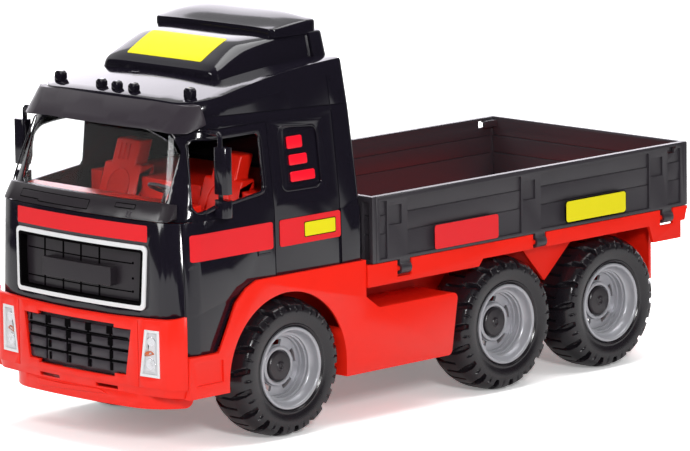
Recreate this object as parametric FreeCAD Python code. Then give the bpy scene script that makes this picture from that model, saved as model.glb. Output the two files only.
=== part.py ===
import FreeCAD, Part
import math
import os

os.makedirs("parts", exist_ok=True)
V = FreeCAD.Vector

# Large plastic toy truck with a drop-side bed, three axles and single wheels.
# Millimetres. X is across, Y runs from the nose (low) to the tail (high), Z is up.
# It is drawn from the front axle, at Y = 0, and moved at the end so that the origin
# lies on the ground below the middle of the truck.

# Stance
tyre_radius = 57.5
tyre_width = 45.0
tyre_outer_x = 116.0
wheelbase = 255.5
axle_gap = 131.0
front_overhang = 134.5
rear_overhang = 98.5
overrun = 5.0
seam = 0.4

# Tyre
tyre_bead_radius = 33.5
tread_edge = 13.0
shoulder_radius = 53.0
bead_inset = 2.7
lug_count = 18
lug_gap = 5.2
lug_reach = 29.0
lug_notch_drop = 5.0

# Rim, hub cap and axle
rim_lip = 3.4
rim_depth = 39.0
rim_wall = 2.4
dish_depth = 17.0
disc_thickness = 2.6
dish_step_depth_shares = (0.42, 0.58, 0.78, 1.0)
dish_step_radii = (27.6, 26.2, 24.6, 23.4)
cup_radius = 16.0
cup_height = 3.4
hub_radius = 7.5
hand_hole_inner = 17.4
hand_hole_outer = 21.8
hand_hole_spread = 32.0
hand_hole_count = 5
cap_radius = 12.5
cap_height = 5.0
cap_dome = 1.4
cap_ring_radius = 4.2
cap_ring_height = 1.0
cap_socket_radius = 4.4
cap_socket_depth = 3.4
axle_radius = 3.0
running_gap = 0.05
axle_end_inset = 15.2

# Chassis frame below the bed and the cab
frame_half = 66.0
frame_wall = 3.0
frame_bottom = 46.0
frame_front = -60.0
frame_rear = 450.0
frame_step_z = 108.0
axle_boss_radius = 9.0
axle_boss_reach = 2.2
mudguard_half = 104.0
mudguard_bottom = 69.0
rib_pitch = 63.0

# Bed deck and its side rails
bed_half = 117.5
bed_front = 92.6
deck_top = 131.0
deck_thickness = 3.0
floor_panel_rise = 0.6
floor_panel_side_gap = 6.5
floor_panel_front_gap = 1.2
floor_panel_rear_gap = 7.4
rail_wall = 3.0
rail_front = 86.6
rail_drop_front = 18.5
rail_drop_rear = 12.5
rail_step_y = 219.0
rail_step_run = 5.0
tail_bracket_drop = 27.5
tail_bracket_front = 438.0
tail_bracket_rear = 474.0
rail_end_radius = 7.0
web_inner = 101.0
web_outer = 104.0
web_front = 285.0
web_rear = 349.5
web_side_z = 117.8
web_tip_y = 313.5
web_tip_z = 86.0

# Drop sides
board_gap = 0.6
board_height = 56.0
board_thickness = 5.0
end_board_thickness = 4.2
board_relief = 2.0
top_rail = 4.8
bottom_rail = 2.6
plank_groove = 1.0
plank_groove_depth = 0.8
plank_height_shares = (0.30, 0.58)
post_width = 24.0
post_starts = (109.8, 271.5, 433.0)
pocket_width = 15.0
pocket_height = 16.5
pocket_top_inset = 9.6
pocket_depth = 1.8
clip_width = 12.0
clip_offsets = (14.5, 17.0, 17.0)
clip_radius = 5.0
clip_bore_radius = 2.6
clip_drop = 7.2
clip_inset = 2.6
hinge_pin_radius = 2.2
notch_side = 3.0
latch_hole_width = 8.4
latch_hole_height = 6.0
latch_hole_from_end = 14.5
latch_hole_from_top = 2.6
latch_thickness = 4.0

# Cab shell
cab_half_low = 113.5
cab_half_waist = 111.6
cab_half_mid = 103.0
cab_half_top = 94.3
cab_wall = 2.6
cab_back = 81.5
cab_back_mid = 83.0
cab_back_waist = 85.0
cab_back_low = 85.5
cab_nose_low = -131.0
cab_nose_waist = -128.2
cab_nose_shelf = -121.0
cab_nose_mid = -98.5
cab_nose_top = -80.6
cab_bow_radius = 680.0
cab_corner_low = 27.0
cab_corner_top = 33.0
cab_back_corner = 5.0
back_band_front = 60.5
back_band_top = 182.0
back_band_proud = 1.0
back_seam_top = 292.0
cab_bottom = 83.0
cab_front_bottom = 111.0
waist_z = 191.0
mid_z = 262.0
roof_front_z = 281.0
roof_rear_z = 304.0
roof_bulge_share = 0.77
roof_crown_front = 4.0
roof_crown = 5.0
roof_tail = 4.0
roof_front_y = -90.0
roof_stations = 6
screen_bottom = 205.0
screen_top = 262.5
screen_half_bottom = 87.0
screen_half_top = 90.0
screen_corner = 3.5
screen_thickness = 1.6
window_front_top = -90.0
window_front_bottom = -101.0
window_rear = -23.0
window_top = 254.0
window_bottom_front = 197.5
window_bottom_rear = 207.0
window_corner = 5.0
door_front = -112.0
door_rear = -14.0
door_top = 262.0
groove_width = 1.0
groove_depth = 0.7
roof_seam_front_z = 273.0
roof_seam_rear_z = 266.5
sleeper_front = 2.5
sleeper_rear = 41.5
sleeper_bottom = 203.5
sleeper_top = 254.5
sleeper_corner = 5.0
sleeper_recess = 1.2
sleeper_bar_heights = (10.0, 8.5, 8.2)
sleeper_bar_lengths = (17.3, 20.3, 27.5)
sleeper_bar_drops = (7.5, 22.5, 36.3)
sleeper_bar_starts = (4.8, 5.6, 5.6)
sleeper_bar_proud = 1.4
sleeper_bar_corner = 1.6
door_step_depth = 1.2
door_step_front_z = 113.5
door_step_rear_z = 131.0

# Front wheel arch and fender, with the tank box behind it
arch_center_y = -4.5
arch_center_z = 55.0
arch_radius = 66.7
skirt_outer = 116.0
skirt_inner = 71.0
skirt_wall = 2.6
skirt_bottom_front = 48.3
skirt_bottom_rear = 41.5
skirt_front = -115.3
step_top = 82.4
fender_foot_y = -82.6
fender_shoulder_y = -62.0
fender_shoulder_z = 121.0
fender_top = 136.0
fender_curve_y = -38.0
fender_rear = 86.0
fender_rear_low = 105.0
tank_notch_y = 101.0
tank_top = 94.0
tank_rear_top = 195.0
tank_rear_bottom = 186.5
tank_corner = 5.0
step_recess_front = -107.0
step_recess_rear = -78.0
step_recess_bottom = 58.5
step_recess_top = 76.6
step_recess_depth = 1.4

# Bumper and the air dam below it
bumper_half = 117.0
bumper_nose = -134.5
bumper_bow_radius = 683.0
bumper_corner = 23.0
bumper_back = -115.7
bumper_block_back = -60.0
bumper_wall = 3.0
bumper_top = 111.0
bumper_side_top = 116.3
bumper_crease = 56.4
bumper_bottom = 49.5
bumper_chin_inset = 2.4
dam_half = 103.0
dam_nose = -132.6
dam_corner = 45.0
dam_bottom = 38.0
dam_back = -98.0
dam_heel_radius = 7.0
bumper_seam_x = 72.0
bumper_seam_width = 0.8
bumper_seam_depth = 0.5
slot_inner = 22.0
slot_outer = 47.0
slot_height = 3.0
grille_half_top = 64.4
grille_half_bottom = 58.2
grille_top = 102.4
grille_bottom = 64.6
grille_step_half = 45.8
grille_step = 2.8
grille_rows = 4
grille_columns = 5
grille_depth = 4.5
grille_gap = 2.6
grille_pad = 2.6

# Headlamps
lamp_top_inner = 79.4
lamp_top_outer = 94.2
lamp_bottom_inner = 74.0
lamp_bottom_outer = 94.4
lamp_top = 104.2
lamp_bottom = 65.6
lamp_bezel = 2.2
lamp_depth = 4.0
lamp_proud = 0.8
lamp_lens_set = 1.0

# Upper front grille
badge_half_top = 78.6
badge_half_bottom = 76.6
badge_top = 171.4
badge_bottom = 118.6
badge_corner = 4.5
badge_band = 5.4
badge_proud = 1.6
badge_recess = 3.4
badge_plate_thickness = 2.0
name_bar_half = 42.0
name_bar_bottom = 135.4
name_bar_top = 152.4
name_bar_proud = 2.0
badge_groove = 1.8
badge_groove_depth = 1.0
badge_column_pitch = 22.3
badge_row_heights = (130.5, 157.5)

# Cowl below the windscreen and sun visor above it
cowl_bottom = 192.0
cowl_top = 205.4
cowl_proud = 1.2
cowl_nose_bottom = -129.4
cowl_nose_top = -121.6
cowl_back = -106.0
cowl_corner = 27.5
cowl_half = 100.0
cowl_end_corner = 3.0
visor_bottom = 261.0
visor_top = 286.0
visor_top_drop = 1.2
visor_wall = 2.6
visor_proud_low = 1.4
visor_proud_high = 3.6
visor_hollow_half = 80.0
visor_nose_bottom = -110.5
visor_nose_top = -88.5
visor_back = -80.0
visor_corner_low = 31.0
visor_corner_high = 22.0
visor_brow_rise = 1.6
visor_brow_inner = 60.0
visor_brow_outer = 88.0
visor_end_front = -96.0
visor_end_rise = 6.0

# Roof lamps, fairing and spoiler
roof_lamp_places = (-77.7, -19.4, 0.0, 19.4, 77.7)
roof_lamp_fronts = (-76.8, -84.4, -85.0, -84.4, -76.8)
roof_lamp_halves = (4.5, 3.9, 3.9, 3.9, 4.5)
roof_lamp_heights = (8.8, 7.4, 7.4, 7.4, 8.8)
roof_lamp_length = 6.6
roof_lamp_chamfer = 2.2
fairing_places = (-36.0, -20.0, 0.0, 30.0, 66.0)
fairing_base_halves = (66.0, 69.5, 73.0, 77.0, 80.0)
fairing_ridge_halves = (64.4, 67.6, 70.5, 72.5, 73.5)
fairing_ridge_heights = (302.2, 310.5, 319.0, 323.6, 324.8)
fairing_crown_heights = (304.7, 316.0, 327.0, 330.5, 331.0)
fairing_block_rear = 79.0
fairing_block_base = 84.5
fairing_block_ridge = 76.0
fairing_block_side_z = 325.0
fairing_block_crown_z = 328.5
fairing_block_corner = 6.0
spoiler_corner = 6.0
spoiler_places = (26.6, 40.0, 58.0, 73.5)
spoiler_halves = (71.0, 73.5, 75.0, 75.0)
spoiler_low = 325.0
spoiler_side_heights = (330.4, 332.5, 334.5, 335.0)
spoiler_crown_heights = (333.0, 339.5, 342.5, 341.0)

# Mirrors
mirror_inner = 113.4
mirror_outer = 127.6
mirror_front = -84.0
mirror_depth = 10.0
mirror_bottom = 212.6
mirror_top = 250.4
mirror_small_bottom = 193.6
mirror_small_top = 207.6
mirror_corner = 3.6
mirror_arm = 2.0
mirror_arm_rise = 10.4
mirror_root_x = 97.0
mirror_root_y = -101.0
mirror_root_z = 188.0

# Cab interior
tub_half = 100.0
tub_floor = 138.5
tub_wall = 2.4
tub_back = 74.0
tub_front = -106.0
bench_front = -22.0
bench_top = 203.0
bench_pad = 5.0
dash_back = -84.0
dash_top = 202.0
dash_front_z = 200.0
seat_center = 60.0
seat_half = 22.5
seat_top = 231.5
seat_shoulder = 212.0
seat_foot_z = 181.0
seat_foot_front = -33.0
seat_lean_share = 0.36
seat_thickness = 15.0
seat_head_half = 14.6
seat_gap = 0.3
steering_x = 64.0
steering_y = -88.0
steering_z = 211.0
steering_radius = 14.6
steering_grip = 1.5
steering_tilt = 25.0
column_radius = 3.4
column_length = 22.0

# Sizes that follow from the ones above
rim_face_x = tyre_outer_x - bead_inset
axle_places = (0.0, wheelbase, wheelbase + axle_gap)
tail_y = wheelbase + axle_gap + rear_overhang
board_bottom = deck_top + board_gap
board_top = board_bottom + board_height
hinge_z = deck_top - clip_drop
hinge_x = bed_half - clip_inset
bed_rear = tail_y - clip_radius + clip_inset
side_board_front = bed_front + end_board_thickness + seam
side_board_rear = bed_rear - end_board_thickness - seam
deck_bottom = deck_top - deck_thickness
whole_length = front_overhang + tail_y
shift = V(0, front_overhang - whole_length / 2, 0)


def side(x):
    return lambda u, v: V(x, u, v)


def plan(z):
    return lambda u, v: V(u, v, z)


def front(y):
    return lambda u, v: V(u, y, v)


def box(x0, x1, y0, y1, z0, z1):
    return Part.makeBox(x1 - x0, y1 - y0, z1 - z0, V(x0, y0, z0))


def wire(points, place):
    loop = [place(u, v) for u, v in points]
    return Part.makePolygon(loop + loop[:1])


def rounded_wire(points, radius, place):
    """Closed outline with rounded corners, by one radius or by one for each corner."""
    radii = radius if isinstance(radius, (list, tuple)) else [radius] * len(points)
    stretches = []
    for i, corner in enumerate(points):
        if radii[i] == 0:
            stretches.append([V(*corner, 0)])
            continue
        before = V(*points[i - 1], 0) - V(*corner, 0)
        after = V(*points[(i + 1) % len(points)], 0) - V(*corner, 0)
        half = before.getAngle(after) / 2
        reach = radii[i] / math.tan(half)
        bisector = before.normalize() + after.normalize()
        bisector.normalize()
        middle = V(*corner, 0) + bisector * (radii[i] / math.sin(half) - radii[i])
        stretches.append([V(*corner, 0) + before * reach, middle, V(*corner, 0) + after * reach])
    edges = []
    for i, stretch in enumerate(stretches):
        if len(stretch) == 3:
            edges.append(Part.Arc(*[place(p.x, p.y) for p in stretch]).toShape())
        start = stretch[-1]
        end = stretches[(i + 1) % len(stretches)][0]
        edges.append(Part.LineSegment(place(start.x, start.y), place(end.x, end.y)).toShape())
    return Part.Wire(edges)


def slab(outline, along):
    return Part.Face(outline).extrude(along)


def side_slab(points, x0, x1):
    return slab(wire(points, side(x0)), V(x1 - x0, 0, 0))


def front_slab(points, y0, y1):
    return slab(wire(points, front(y0)), V(0, y1 - y0, 0))


def rod_x(radius, x0, x1, y, z):
    return Part.makeCylinder(radius, x1 - x0, V(x0, y, z), V(1, 0, 0))


def rod_y(radius, y0, y1, x, z):
    return Part.makeCylinder(radius, y1 - y0, V(x, y0, z), V(0, 1, 0))


def mirrored(shape):
    return shape.mirror(V(0, 0, 0), V(1, 0, 0))


def joined(shapes):
    whole = shapes[0].fuse(shapes[1:])
    return whole.removeSplitter()


def bow_wire(half, nose, back, bow, corner, back_corner, z):
    """Plan outline with a gently bowed nose, tangent corner arcs and a straight back."""
    center_y = nose + bow
    side_y = center_y - math.sqrt((bow - corner) ** 2 - (half - corner) ** 2)
    reach = V(half - corner, side_y - center_y, 0) * (bow / (bow - corner))
    turn = V(reach.x, center_y + reach.y, z)
    bisector = V(half, side_y, 0) - V(half - corner, side_y, 0) + (turn - V(half - corner, side_y, z))
    bisector.normalize()
    middle = V(half - corner, side_y, z) + bisector * corner
    c = back_corner * (1 - math.sqrt(0.5))
    right = [
        Part.Arc(V(turn.x, turn.y, z), middle, V(half, side_y, z)).toShape(),
        Part.LineSegment(V(half, side_y, z), V(half, back - back_corner, z)).toShape(),
        Part.Arc(V(half, back - back_corner, z), V(half - c, back - c, z),
                 V(half - back_corner, back, z)).toShape(),
    ]
    left = [edge.mirror(V(0, 0, 0), V(1, 0, 0)) for edge in reversed(right)]
    nose_arc = Part.Arc(V(-turn.x, turn.y, z), V(0, nose, z), V(turn.x, turn.y, z)).toShape()
    back_line = Part.LineSegment(V(half - back_corner, back, z), V(back_corner - half, back, z)).toShape()
    return Part.Wire([nose_arc] + right + [back_line] + left)


def polygon_ring(x, radius, sides):
    """Regular polygon round the wheel's axis, with one corner straight down."""
    turn = 2 * math.pi / sides
    corners = [V(x, radius * math.sin(i * turn), -radius * math.cos(i * turn)) for i in range(sides)]
    return Part.makePolygon(corners + corners[:1])


def tyre(outer_x):
    """Chunky tyre in flat facets, with staggered lug gaps cut into both shoulders."""
    inner_x = outer_x - tyre_width
    stations = [
        (inner_x, shoulder_radius),
        (inner_x + tread_edge, tyre_radius),
        (outer_x - tread_edge, tyre_radius),
        (outer_x, shoulder_radius),
    ]
    body = Part.makeLoft([polygon_ring(x, radius, 2 * lug_count) for x, radius in stations], True, True)
    low = shoulder_radius - lug_notch_drop
    high = tyre_radius + overrun
    cuts = [rod_x(tyre_bead_radius, inner_x - overrun, outer_x + overrun, 0, 0)]
    for side_x, inward, first in ((outer_x, -1, 1), (inner_x, 1, 0)):
        outside = side_x - inward * overrun
        wedge = [(outside, low), (side_x, low), (side_x + inward * lug_reach, high), (outside, high)]
        cutter = slab(wire(wedge, lambda u, v: V(u, -lug_gap / 2, -v)), V(0, lug_gap, 0))
        for i in range(lug_count):
            turned = cutter.copy()
            turned.rotate(V(0, 0, 0), V(1, 0, 0), (2 * i + first) * 180 / lug_count)
            cuts.append(turned)
    return body.cut(cuts)


def rim(outer_x):
    """Dished rim with stepped ridges, hand holes and a cup round the hub cap."""
    face = rim_face_x
    disc = face - dish_depth
    back = disc - disc_thickness
    front_line = [(face, tyre_bead_radius), (face, tyre_bead_radius - rim_lip)]
    for share, radius in zip(dish_step_depth_shares, dish_step_radii):
        front_line.append((face - dish_depth * share, radius))
    hub_back = face - rim_depth - bead_inset
    profile = front_line + [
        (disc, cup_radius),
        (disc + cup_height, cup_radius),
        (disc + cup_height, cap_radius + rim_wall / 2),
        (disc, cap_radius + rim_wall / 2),
        (disc, axle_radius + running_gap),
        (hub_back, axle_radius + running_gap),
        (hub_back, hub_radius),
        (back, hub_radius),
        (back, tyre_bead_radius - rim_wall - rim_lip),
        (face - rim_depth, tyre_bead_radius - rim_wall),
        (face - rim_depth, tyre_bead_radius),
    ]
    body = Part.Face(wire(profile, lambda u, v: V(u, 0, v))).revolve(V(0, 0, 0), V(1, 0, 0), 360)
    ring = rod_x(hand_hole_outer, back - overrun, disc + overrun, 0, 0)
    ring = ring.cut(rod_x(hand_hole_inner, back - overrun, disc + overrun, 0, 0))
    reach = hand_hole_outer * math.sin(math.radians(hand_hole_spread / 2))
    hole = ring.common(box(back - overrun, disc + overrun, -reach, reach, 0, hand_hole_outer))
    holes = []
    for i in range(hand_hole_count):
        turned = hole.copy()
        turned.rotate(V(0, 0, 0), V(1, 0, 0), i * 360 / hand_hole_count)
        holes.append(turned)
    return body.cut(holes)


def hub_cap():
    """Black cap with a raised ring, over the axle's end."""
    base = rim_face_x - dish_depth
    top = base + cap_height
    profile = [
        (base, 0),
        (base, cap_radius),
        (top - cap_dome, cap_radius),
        (top, cap_radius - cap_dome),
        (top, cap_ring_radius),
        (top + cap_ring_height, cap_ring_radius - cap_ring_height),
        (top + cap_ring_height, cap_ring_radius / 2),
        (top, cap_ring_radius / 2 - cap_ring_height / 2),
        (top, 0),
    ]
    body = Part.Face(wire(profile, lambda u, v: V(u, 0, v))).revolve(V(0, 0, 0), V(1, 0, 0), 360)
    return body.cut(rod_x(cap_socket_radius, base, base + cap_socket_depth, 0, 0))


def wheel_nodes():
    """Six wheels: each a tyre, a rim and a hub cap, standing at its axle's end."""
    pieces = {"tyre": tyre(tyre_outer_x), "rim": rim(tyre_outer_x), "hub_cap": hub_cap()}
    nodes = {}
    for place, y in zip(("front", "middle", "rear"), axle_places):
        for hand, shown in (("left", False), ("right", True)):
            for name, piece in pieces.items():
                shape = mirrored(piece) if shown else piece.copy()
                shape.translate(V(0, y, tyre_radius))
                nodes["%s_%s_%s" % (name, place, hand)] = shape
    return nodes


def axle(y):
    end = rim_face_x - axle_end_inset
    return rod_x(axle_radius, -end, end, y, tyre_radius)


def chassis():
    """Red frame box, open below, with cross walls, axle bosses and rear mudguards."""
    outer = [
        (frame_front, frame_bottom),
        (frame_front, frame_step_z),
        (bed_front, frame_step_z),
        (bed_front, deck_bottom),
        (frame_rear, deck_bottom),
        (frame_rear, frame_bottom),
    ]
    body = side_slab(outer, -frame_half, frame_half)
    inner = [
        (frame_front + frame_wall, frame_bottom - overrun),
        (frame_front + frame_wall, frame_step_z - frame_wall),
        (bed_front + frame_wall, frame_step_z - frame_wall),
        (bed_front + frame_wall, deck_bottom - frame_wall),
        (frame_rear - frame_wall, deck_bottom - frame_wall),
        (frame_rear - frame_wall, frame_bottom - overrun),
    ]
    inner_half = frame_half - frame_wall
    body = body.cut(side_slab(inner, -inner_half, inner_half))
    extras = []
    for y in axle_places:
        top = deck_bottom if y > bed_front else frame_step_z
        for shift_y in (-rib_pitch / 2, rib_pitch / 2):
            y0 = y + shift_y - frame_wall / 2
            extras.append(box(-inner_half, inner_half, y0, y0 + frame_wall,
                              frame_bottom, top - frame_wall))
        for hand in (-1, 1):
            x0 = min(hand * inner_half, hand * (frame_half + axle_boss_reach))
            x1 = max(hand * inner_half, hand * (frame_half + axle_boss_reach))
            extras.append(rod_x(axle_boss_radius, x0, x1, y, tyre_radius))
    for hand in (-1, 1):
        x0 = min(hand * inner_half, hand * mudguard_half)
        x1 = max(hand * inner_half, hand * mudguard_half)
        extras.append(box(x0, x1, frame_rear - frame_wall, frame_rear, mudguard_bottom, deck_bottom))
    body = joined([body] + extras)
    bores = [rod_x(axle_radius + running_gap, -mudguard_half, mudguard_half, y, tyre_radius)
             for y in axle_places]
    return body.cut(bores)


def clip_places():
    """Middle of each side hinge clip along the bed."""
    return [start + offset + clip_width / 2 for start, offset in zip(post_starts, clip_offsets)]


def tail_clip_places():
    reach = bed_half - post_width
    return (-reach, 0.0, reach)


def deck():
    """Bed floor with its side rails, notched where the hinge clips hang."""
    z_front = deck_top - rail_drop_front
    z_rear = deck_top - rail_drop_rear
    z_tail = deck_top - tail_bracket_drop
    step_end = rail_step_y + rail_step_run
    rear = bed_rear
    profile = [
        (rail_front, deck_top),
        (rear, deck_top),
        (rear - rail_end_radius / 2, z_rear),
        (tail_bracket_rear, z_rear),
        (tail_bracket_rear, z_tail),
        (tail_bracket_front, z_tail),
        (tail_bracket_front - rail_step_run, z_rear),
        (step_end, z_rear),
        (rail_step_y, z_front),
        (rail_front, z_front),
    ]
    inner = bed_half - rail_wall
    web_points = [(web_front, deck_bottom), (web_front, web_side_z), (web_tip_y, web_tip_z),
                  (web_rear, web_side_z), (web_rear, deck_bottom)]
    parts = [box(-bed_half, bed_half, bed_front, rear, deck_bottom, deck_top)]
    for hand in (-1, 1):
        parts.append(side_slab(profile, hand * inner, hand * bed_half))
        x0 = min(hand * frame_half, hand * inner)
        x1 = max(hand * frame_half, hand * inner)
        parts.append(box(x0, x1, bed_front, bed_front + rail_wall, z_rear, deck_bottom))
        parts.append(side_slab(web_points, min(hand * web_inner, hand * web_outer),
                               max(hand * web_inner, hand * web_outer)))
    parts.append(box(-inner, inner, rear - rail_wall, rear, z_rear, deck_bottom))
    panel_half = bed_half - board_thickness - floor_panel_side_gap
    panel_front = bed_front + end_board_thickness + floor_panel_front_gap
    panel_rear = rear - end_board_thickness - floor_panel_rear_gap
    parts.append(box(-panel_half, panel_half, panel_front, panel_rear, deck_top, deck_top + floor_panel_rise))
    body = joined(parts)
    cuts = []
    deep = clip_radius + clip_inset + notch_side
    low = hinge_z - clip_radius - notch_side / 2
    for y in clip_places():
        y0 = y - clip_width / 2 - notch_side
        y1 = y + clip_width / 2 + notch_side / 2
        for hand in (-1, 1):
            x0 = min(hand * (bed_half - deep), hand * (bed_half + overrun))
            x1 = max(hand * (bed_half - deep), hand * (bed_half + overrun))
            cuts.append(box(x0, x1, y0, y1, low, deck_top + overrun))
    for x in tail_clip_places():
        x0 = x - clip_width / 2 - notch_side / 2
        x1 = x + clip_width / 2 + notch_side / 2
        cuts.append(box(x0, x1, rear - deep, rear + overrun, low, deck_top + overrun))
    body = body.cut(cuts)
    pins = []
    for y in clip_places():
        y0 = y - clip_width / 2 - notch_side - rail_wall / 2
        y1 = y + clip_width / 2 + notch_side / 2 + rail_wall / 2
        for hand in (-1, 1):
            pins.append(rod_y(hinge_pin_radius, y0, y1, hand * hinge_x, hinge_z))
    for x in tail_clip_places():
        x0 = x - clip_width / 2 - notch_side / 2 - rail_wall / 2
        x1 = x + clip_width / 2 + notch_side / 2 + rail_wall / 2
        pins.append(rod_x(hinge_pin_radius, x0, x1, bed_rear - clip_inset, hinge_z))
    return joined([body] + pins)


def relief_cuts(u0, u1, posts, z0, z1):
    """Spans between posts, as (u, u, z, z) boxes for the sunk planks."""
    spans = []
    start = u0
    for post in posts:
        spans.append((start, post))
        start = post + post_width
    spans.append((start, u1))
    return [(a, b, z0, z1) for a, b in spans if b - a > post_width / 4]


def board_panel(u0, u1, thickness, posts):
    """One drop side in its own frame: U along it, W out of its face, Z up."""
    z0 = board_bottom
    z1 = board_top
    panel = box(u0, u1, -thickness, 0, z0, z1)
    cuts = []
    edge = end_board_thickness
    for a, b, low, high in relief_cuts(u0 + edge, u1 - edge, posts, z0 + bottom_rail, z1 - top_rail):
        cuts.append(box(a, b, -board_relief, overrun, low, high))
        for share in plank_height_shares:
            z = z1 - board_height * share
            floor = -board_relief - plank_groove_depth
            cuts.append(box(a, b, floor, overrun, z - plank_groove / 2, z + plank_groove / 2))
    pocket_low = z1 - pocket_top_inset - pocket_height
    for post in posts:
        start = post + (post_width - pocket_width) / 4
        cuts.append(box(start, start + pocket_width, -pocket_depth, overrun,
                        pocket_low, pocket_low + pocket_height))
    for share in plank_height_shares:
        z = z1 - board_height * share
        cuts.append(box(u0 + edge, u1 - edge, -thickness - overrun, -thickness + plank_groove_depth,
                        z - plank_groove / 2, z + plank_groove / 2))
    return panel.cut(cuts)


def hinge_clip():
    """C-shaped clip round the hinge pin, open inwards, in the board's frame at U = 0."""
    y0 = -clip_width / 2
    hook = rod_x(clip_radius, y0, y0 + clip_width, -clip_inset, hinge_z)
    neck = box(y0, y0 + clip_width, -clip_inset - clip_radius / 2, -clip_inset + clip_radius / 2,
               hinge_z, board_bottom + bottom_rail / 2)
    bore = rod_x(clip_bore_radius, y0 - overrun, -y0 + overrun, -clip_inset, hinge_z)
    mouth = box(y0 - overrun, -y0 + overrun, -clip_inset - clip_radius - overrun, -clip_inset,
                hinge_z - clip_bore_radius, hinge_z + clip_bore_radius / 2)
    return joined([hook, neck]).cut([bore, mouth])


def hung(panel, places):
    clips = []
    for u in places:
        clip = hinge_clip()
        clip.translate(V(u, 0, 0))
        clips.append(clip)
    return joined([panel] + clips)


def side_board():
    """Left drop side, with the latch hole near its rear end."""
    posts = post_starts
    panel = board_panel(side_board_front, side_board_rear, board_thickness, posts)
    u1 = side_board_rear - latch_hole_from_end + latch_hole_width / 2
    top = board_top - latch_hole_from_top
    hole = box(u1 - latch_hole_width, u1, -board_thickness - overrun, overrun, top - latch_hole_height, top)
    board = hung(panel.cut(hole), clip_places())
    board.rotate(V(0, 0, 0), V(0, 0, 1), 90)
    board = board.mirror(V(0, 0, 0), V(1, 0, 0))
    board.translate(V(bed_half, 0, 0))
    return board


def end_posts():
    reach = tail_clip_places()[-1]
    return (-reach - post_width / 2, -post_width / 2, reach - post_width / 2)


def front_board():
    panel = board_panel(-bed_half, bed_half, end_board_thickness, end_posts())
    panel.rotate(V(0, 0, 0), V(0, 0, 1), 180)
    panel.translate(V(0, bed_front, 0))
    foot = box(-bed_half + board_thickness, bed_half - board_thickness, bed_front,
               bed_front + end_board_thickness, deck_top, board_bottom)
    return joined([panel, foot])


def tail_board():
    """Rear drop board across both side boards' ends, with a latch tab at each top corner."""
    panel = hung(board_panel(-bed_half, bed_half, end_board_thickness, end_posts()), tail_clip_places())
    panel.translate(V(0, bed_rear, 0))
    inner = bed_rear - end_board_thickness
    top = board_top - latch_hole_from_top
    tabs = []
    for hand in (-1, 1):
        x_out = hand * (bed_half - board_thickness - seam)
        x_in = hand * (bed_half - board_thickness - seam - latch_thickness)
        tabs.append(box(min(x_out, x_in), max(x_out, x_in), inner - latch_hole_from_end, inner + seam,
                        top - latch_hole_height, top))
    return joined([panel] + tabs)


def roof_arch(y, z, crown, high):
    """Closed section above the crowned roof line at one place along the cab."""
    half = cab_half_low + overrun
    sag = crown * (half / cab_half_top) ** 2
    low_left = V(-half, y, z + crown - sag)
    low_right = V(half, y, z + crown - sag)
    return Part.Wire([
        Part.Arc(low_left, V(0, y, z + crown), low_right).toShape(),
        Part.LineSegment(low_right, V(half, y, high)).toShape(),
        Part.LineSegment(V(half, y, high), V(-half, y, high)).toShape(),
        Part.LineSegment(V(-half, y, high), low_left).toShape(),
    ])


def roof_line(y):
    """Height of the roof's edge and its crown at one place along the cab."""
    share = (y - roof_front_y) / (cab_back - roof_front_y)
    rise = share + roof_bulge_share * share * (1 - share)
    edge = roof_front_z + (roof_rear_z - roof_front_z) * rise
    return edge, roof_crown_front + (roof_crown - roof_crown_front) * share


def roof_cutter(drop):
    """Everything above the crowned, rising roof line, lowered by drop."""
    high = roof_rear_z + roof_crown + 4 * overrun
    start = roof_front_y - 5 * overrun
    pitch = (cab_back_low + 2 * overrun - start) / roof_stations
    sections = []
    for i in range(roof_stations + 1):
        edge, crown = roof_line(start + i * pitch)
        sections.append(roof_arch(start + i * pitch, edge - drop, crown, high))
    above = Part.makeLoft(sections, True, False)
    edge, crown = roof_line(cab_back)
    tail = [roof_arch(cab_back - roof_tail - drop, edge, crown, high),
            roof_arch(cab_back + 2 * roof_tail - drop, edge - 3 * roof_tail, crown, high)]
    return joined([above, Part.makeLoft(tail, True, True)])


def cab_block(inset):
    """Solid cab form, shrunk by inset on every side."""
    top_z = roof_rear_z + roof_crown + overrun

    def ring(half, nose, back, corner, z):
        return bow_wire(half - inset, nose + inset, back - inset, cab_bow_radius,
                        corner - inset, cab_back_corner - inset / 2, z)

    low = Part.makeLoft([ring(cab_half_low, cab_nose_low, cab_back_low, cab_corner_low, cab_bottom),
                         ring(cab_half_waist, cab_nose_waist, cab_back_waist, cab_corner_low, waist_z)],
                        True, True)
    high = Part.makeLoft([ring(cab_half_waist, cab_nose_shelf, cab_back_waist, cab_corner_low, waist_z),
                          ring(cab_half_mid, cab_nose_mid, cab_back_mid, cab_corner_top, mid_z),
                          ring(cab_half_top, cab_nose_top, cab_back, cab_corner_top, top_z)], True, True)
    return joined([low, high]).cut(roof_cutter(inset))


def screen_hole():
    points = [(-screen_half_bottom, screen_bottom), (screen_half_bottom, screen_bottom),
              (screen_half_top, screen_top), (-screen_half_top, screen_top)]
    return slab(rounded_wire(points, screen_corner, front(cab_nose_low - overrun)),
                V(0, window_front_top - cab_nose_low, 0))


def window_hole():
    points = [(window_front_bottom, window_bottom_front), (window_rear, window_bottom_rear),
              (window_rear, window_top), (window_front_top, window_top)]
    half = cab_half_low + overrun
    return slab(rounded_wire(points, window_corner, side(-half)), V(2 * half, 0, 0))


def fender_line():
    """Seam between the black cab and the red fender, from the step up to the cab's back."""
    return [
        (fender_foot_y, step_top),
        (fender_shoulder_y, fender_shoulder_z),
        ((fender_shoulder_y + fender_curve_y) / 2, (fender_shoulder_z + 2 * fender_top) / 3),
        (fender_curve_y, fender_top),
        (fender_rear, fender_top),
    ]


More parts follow.
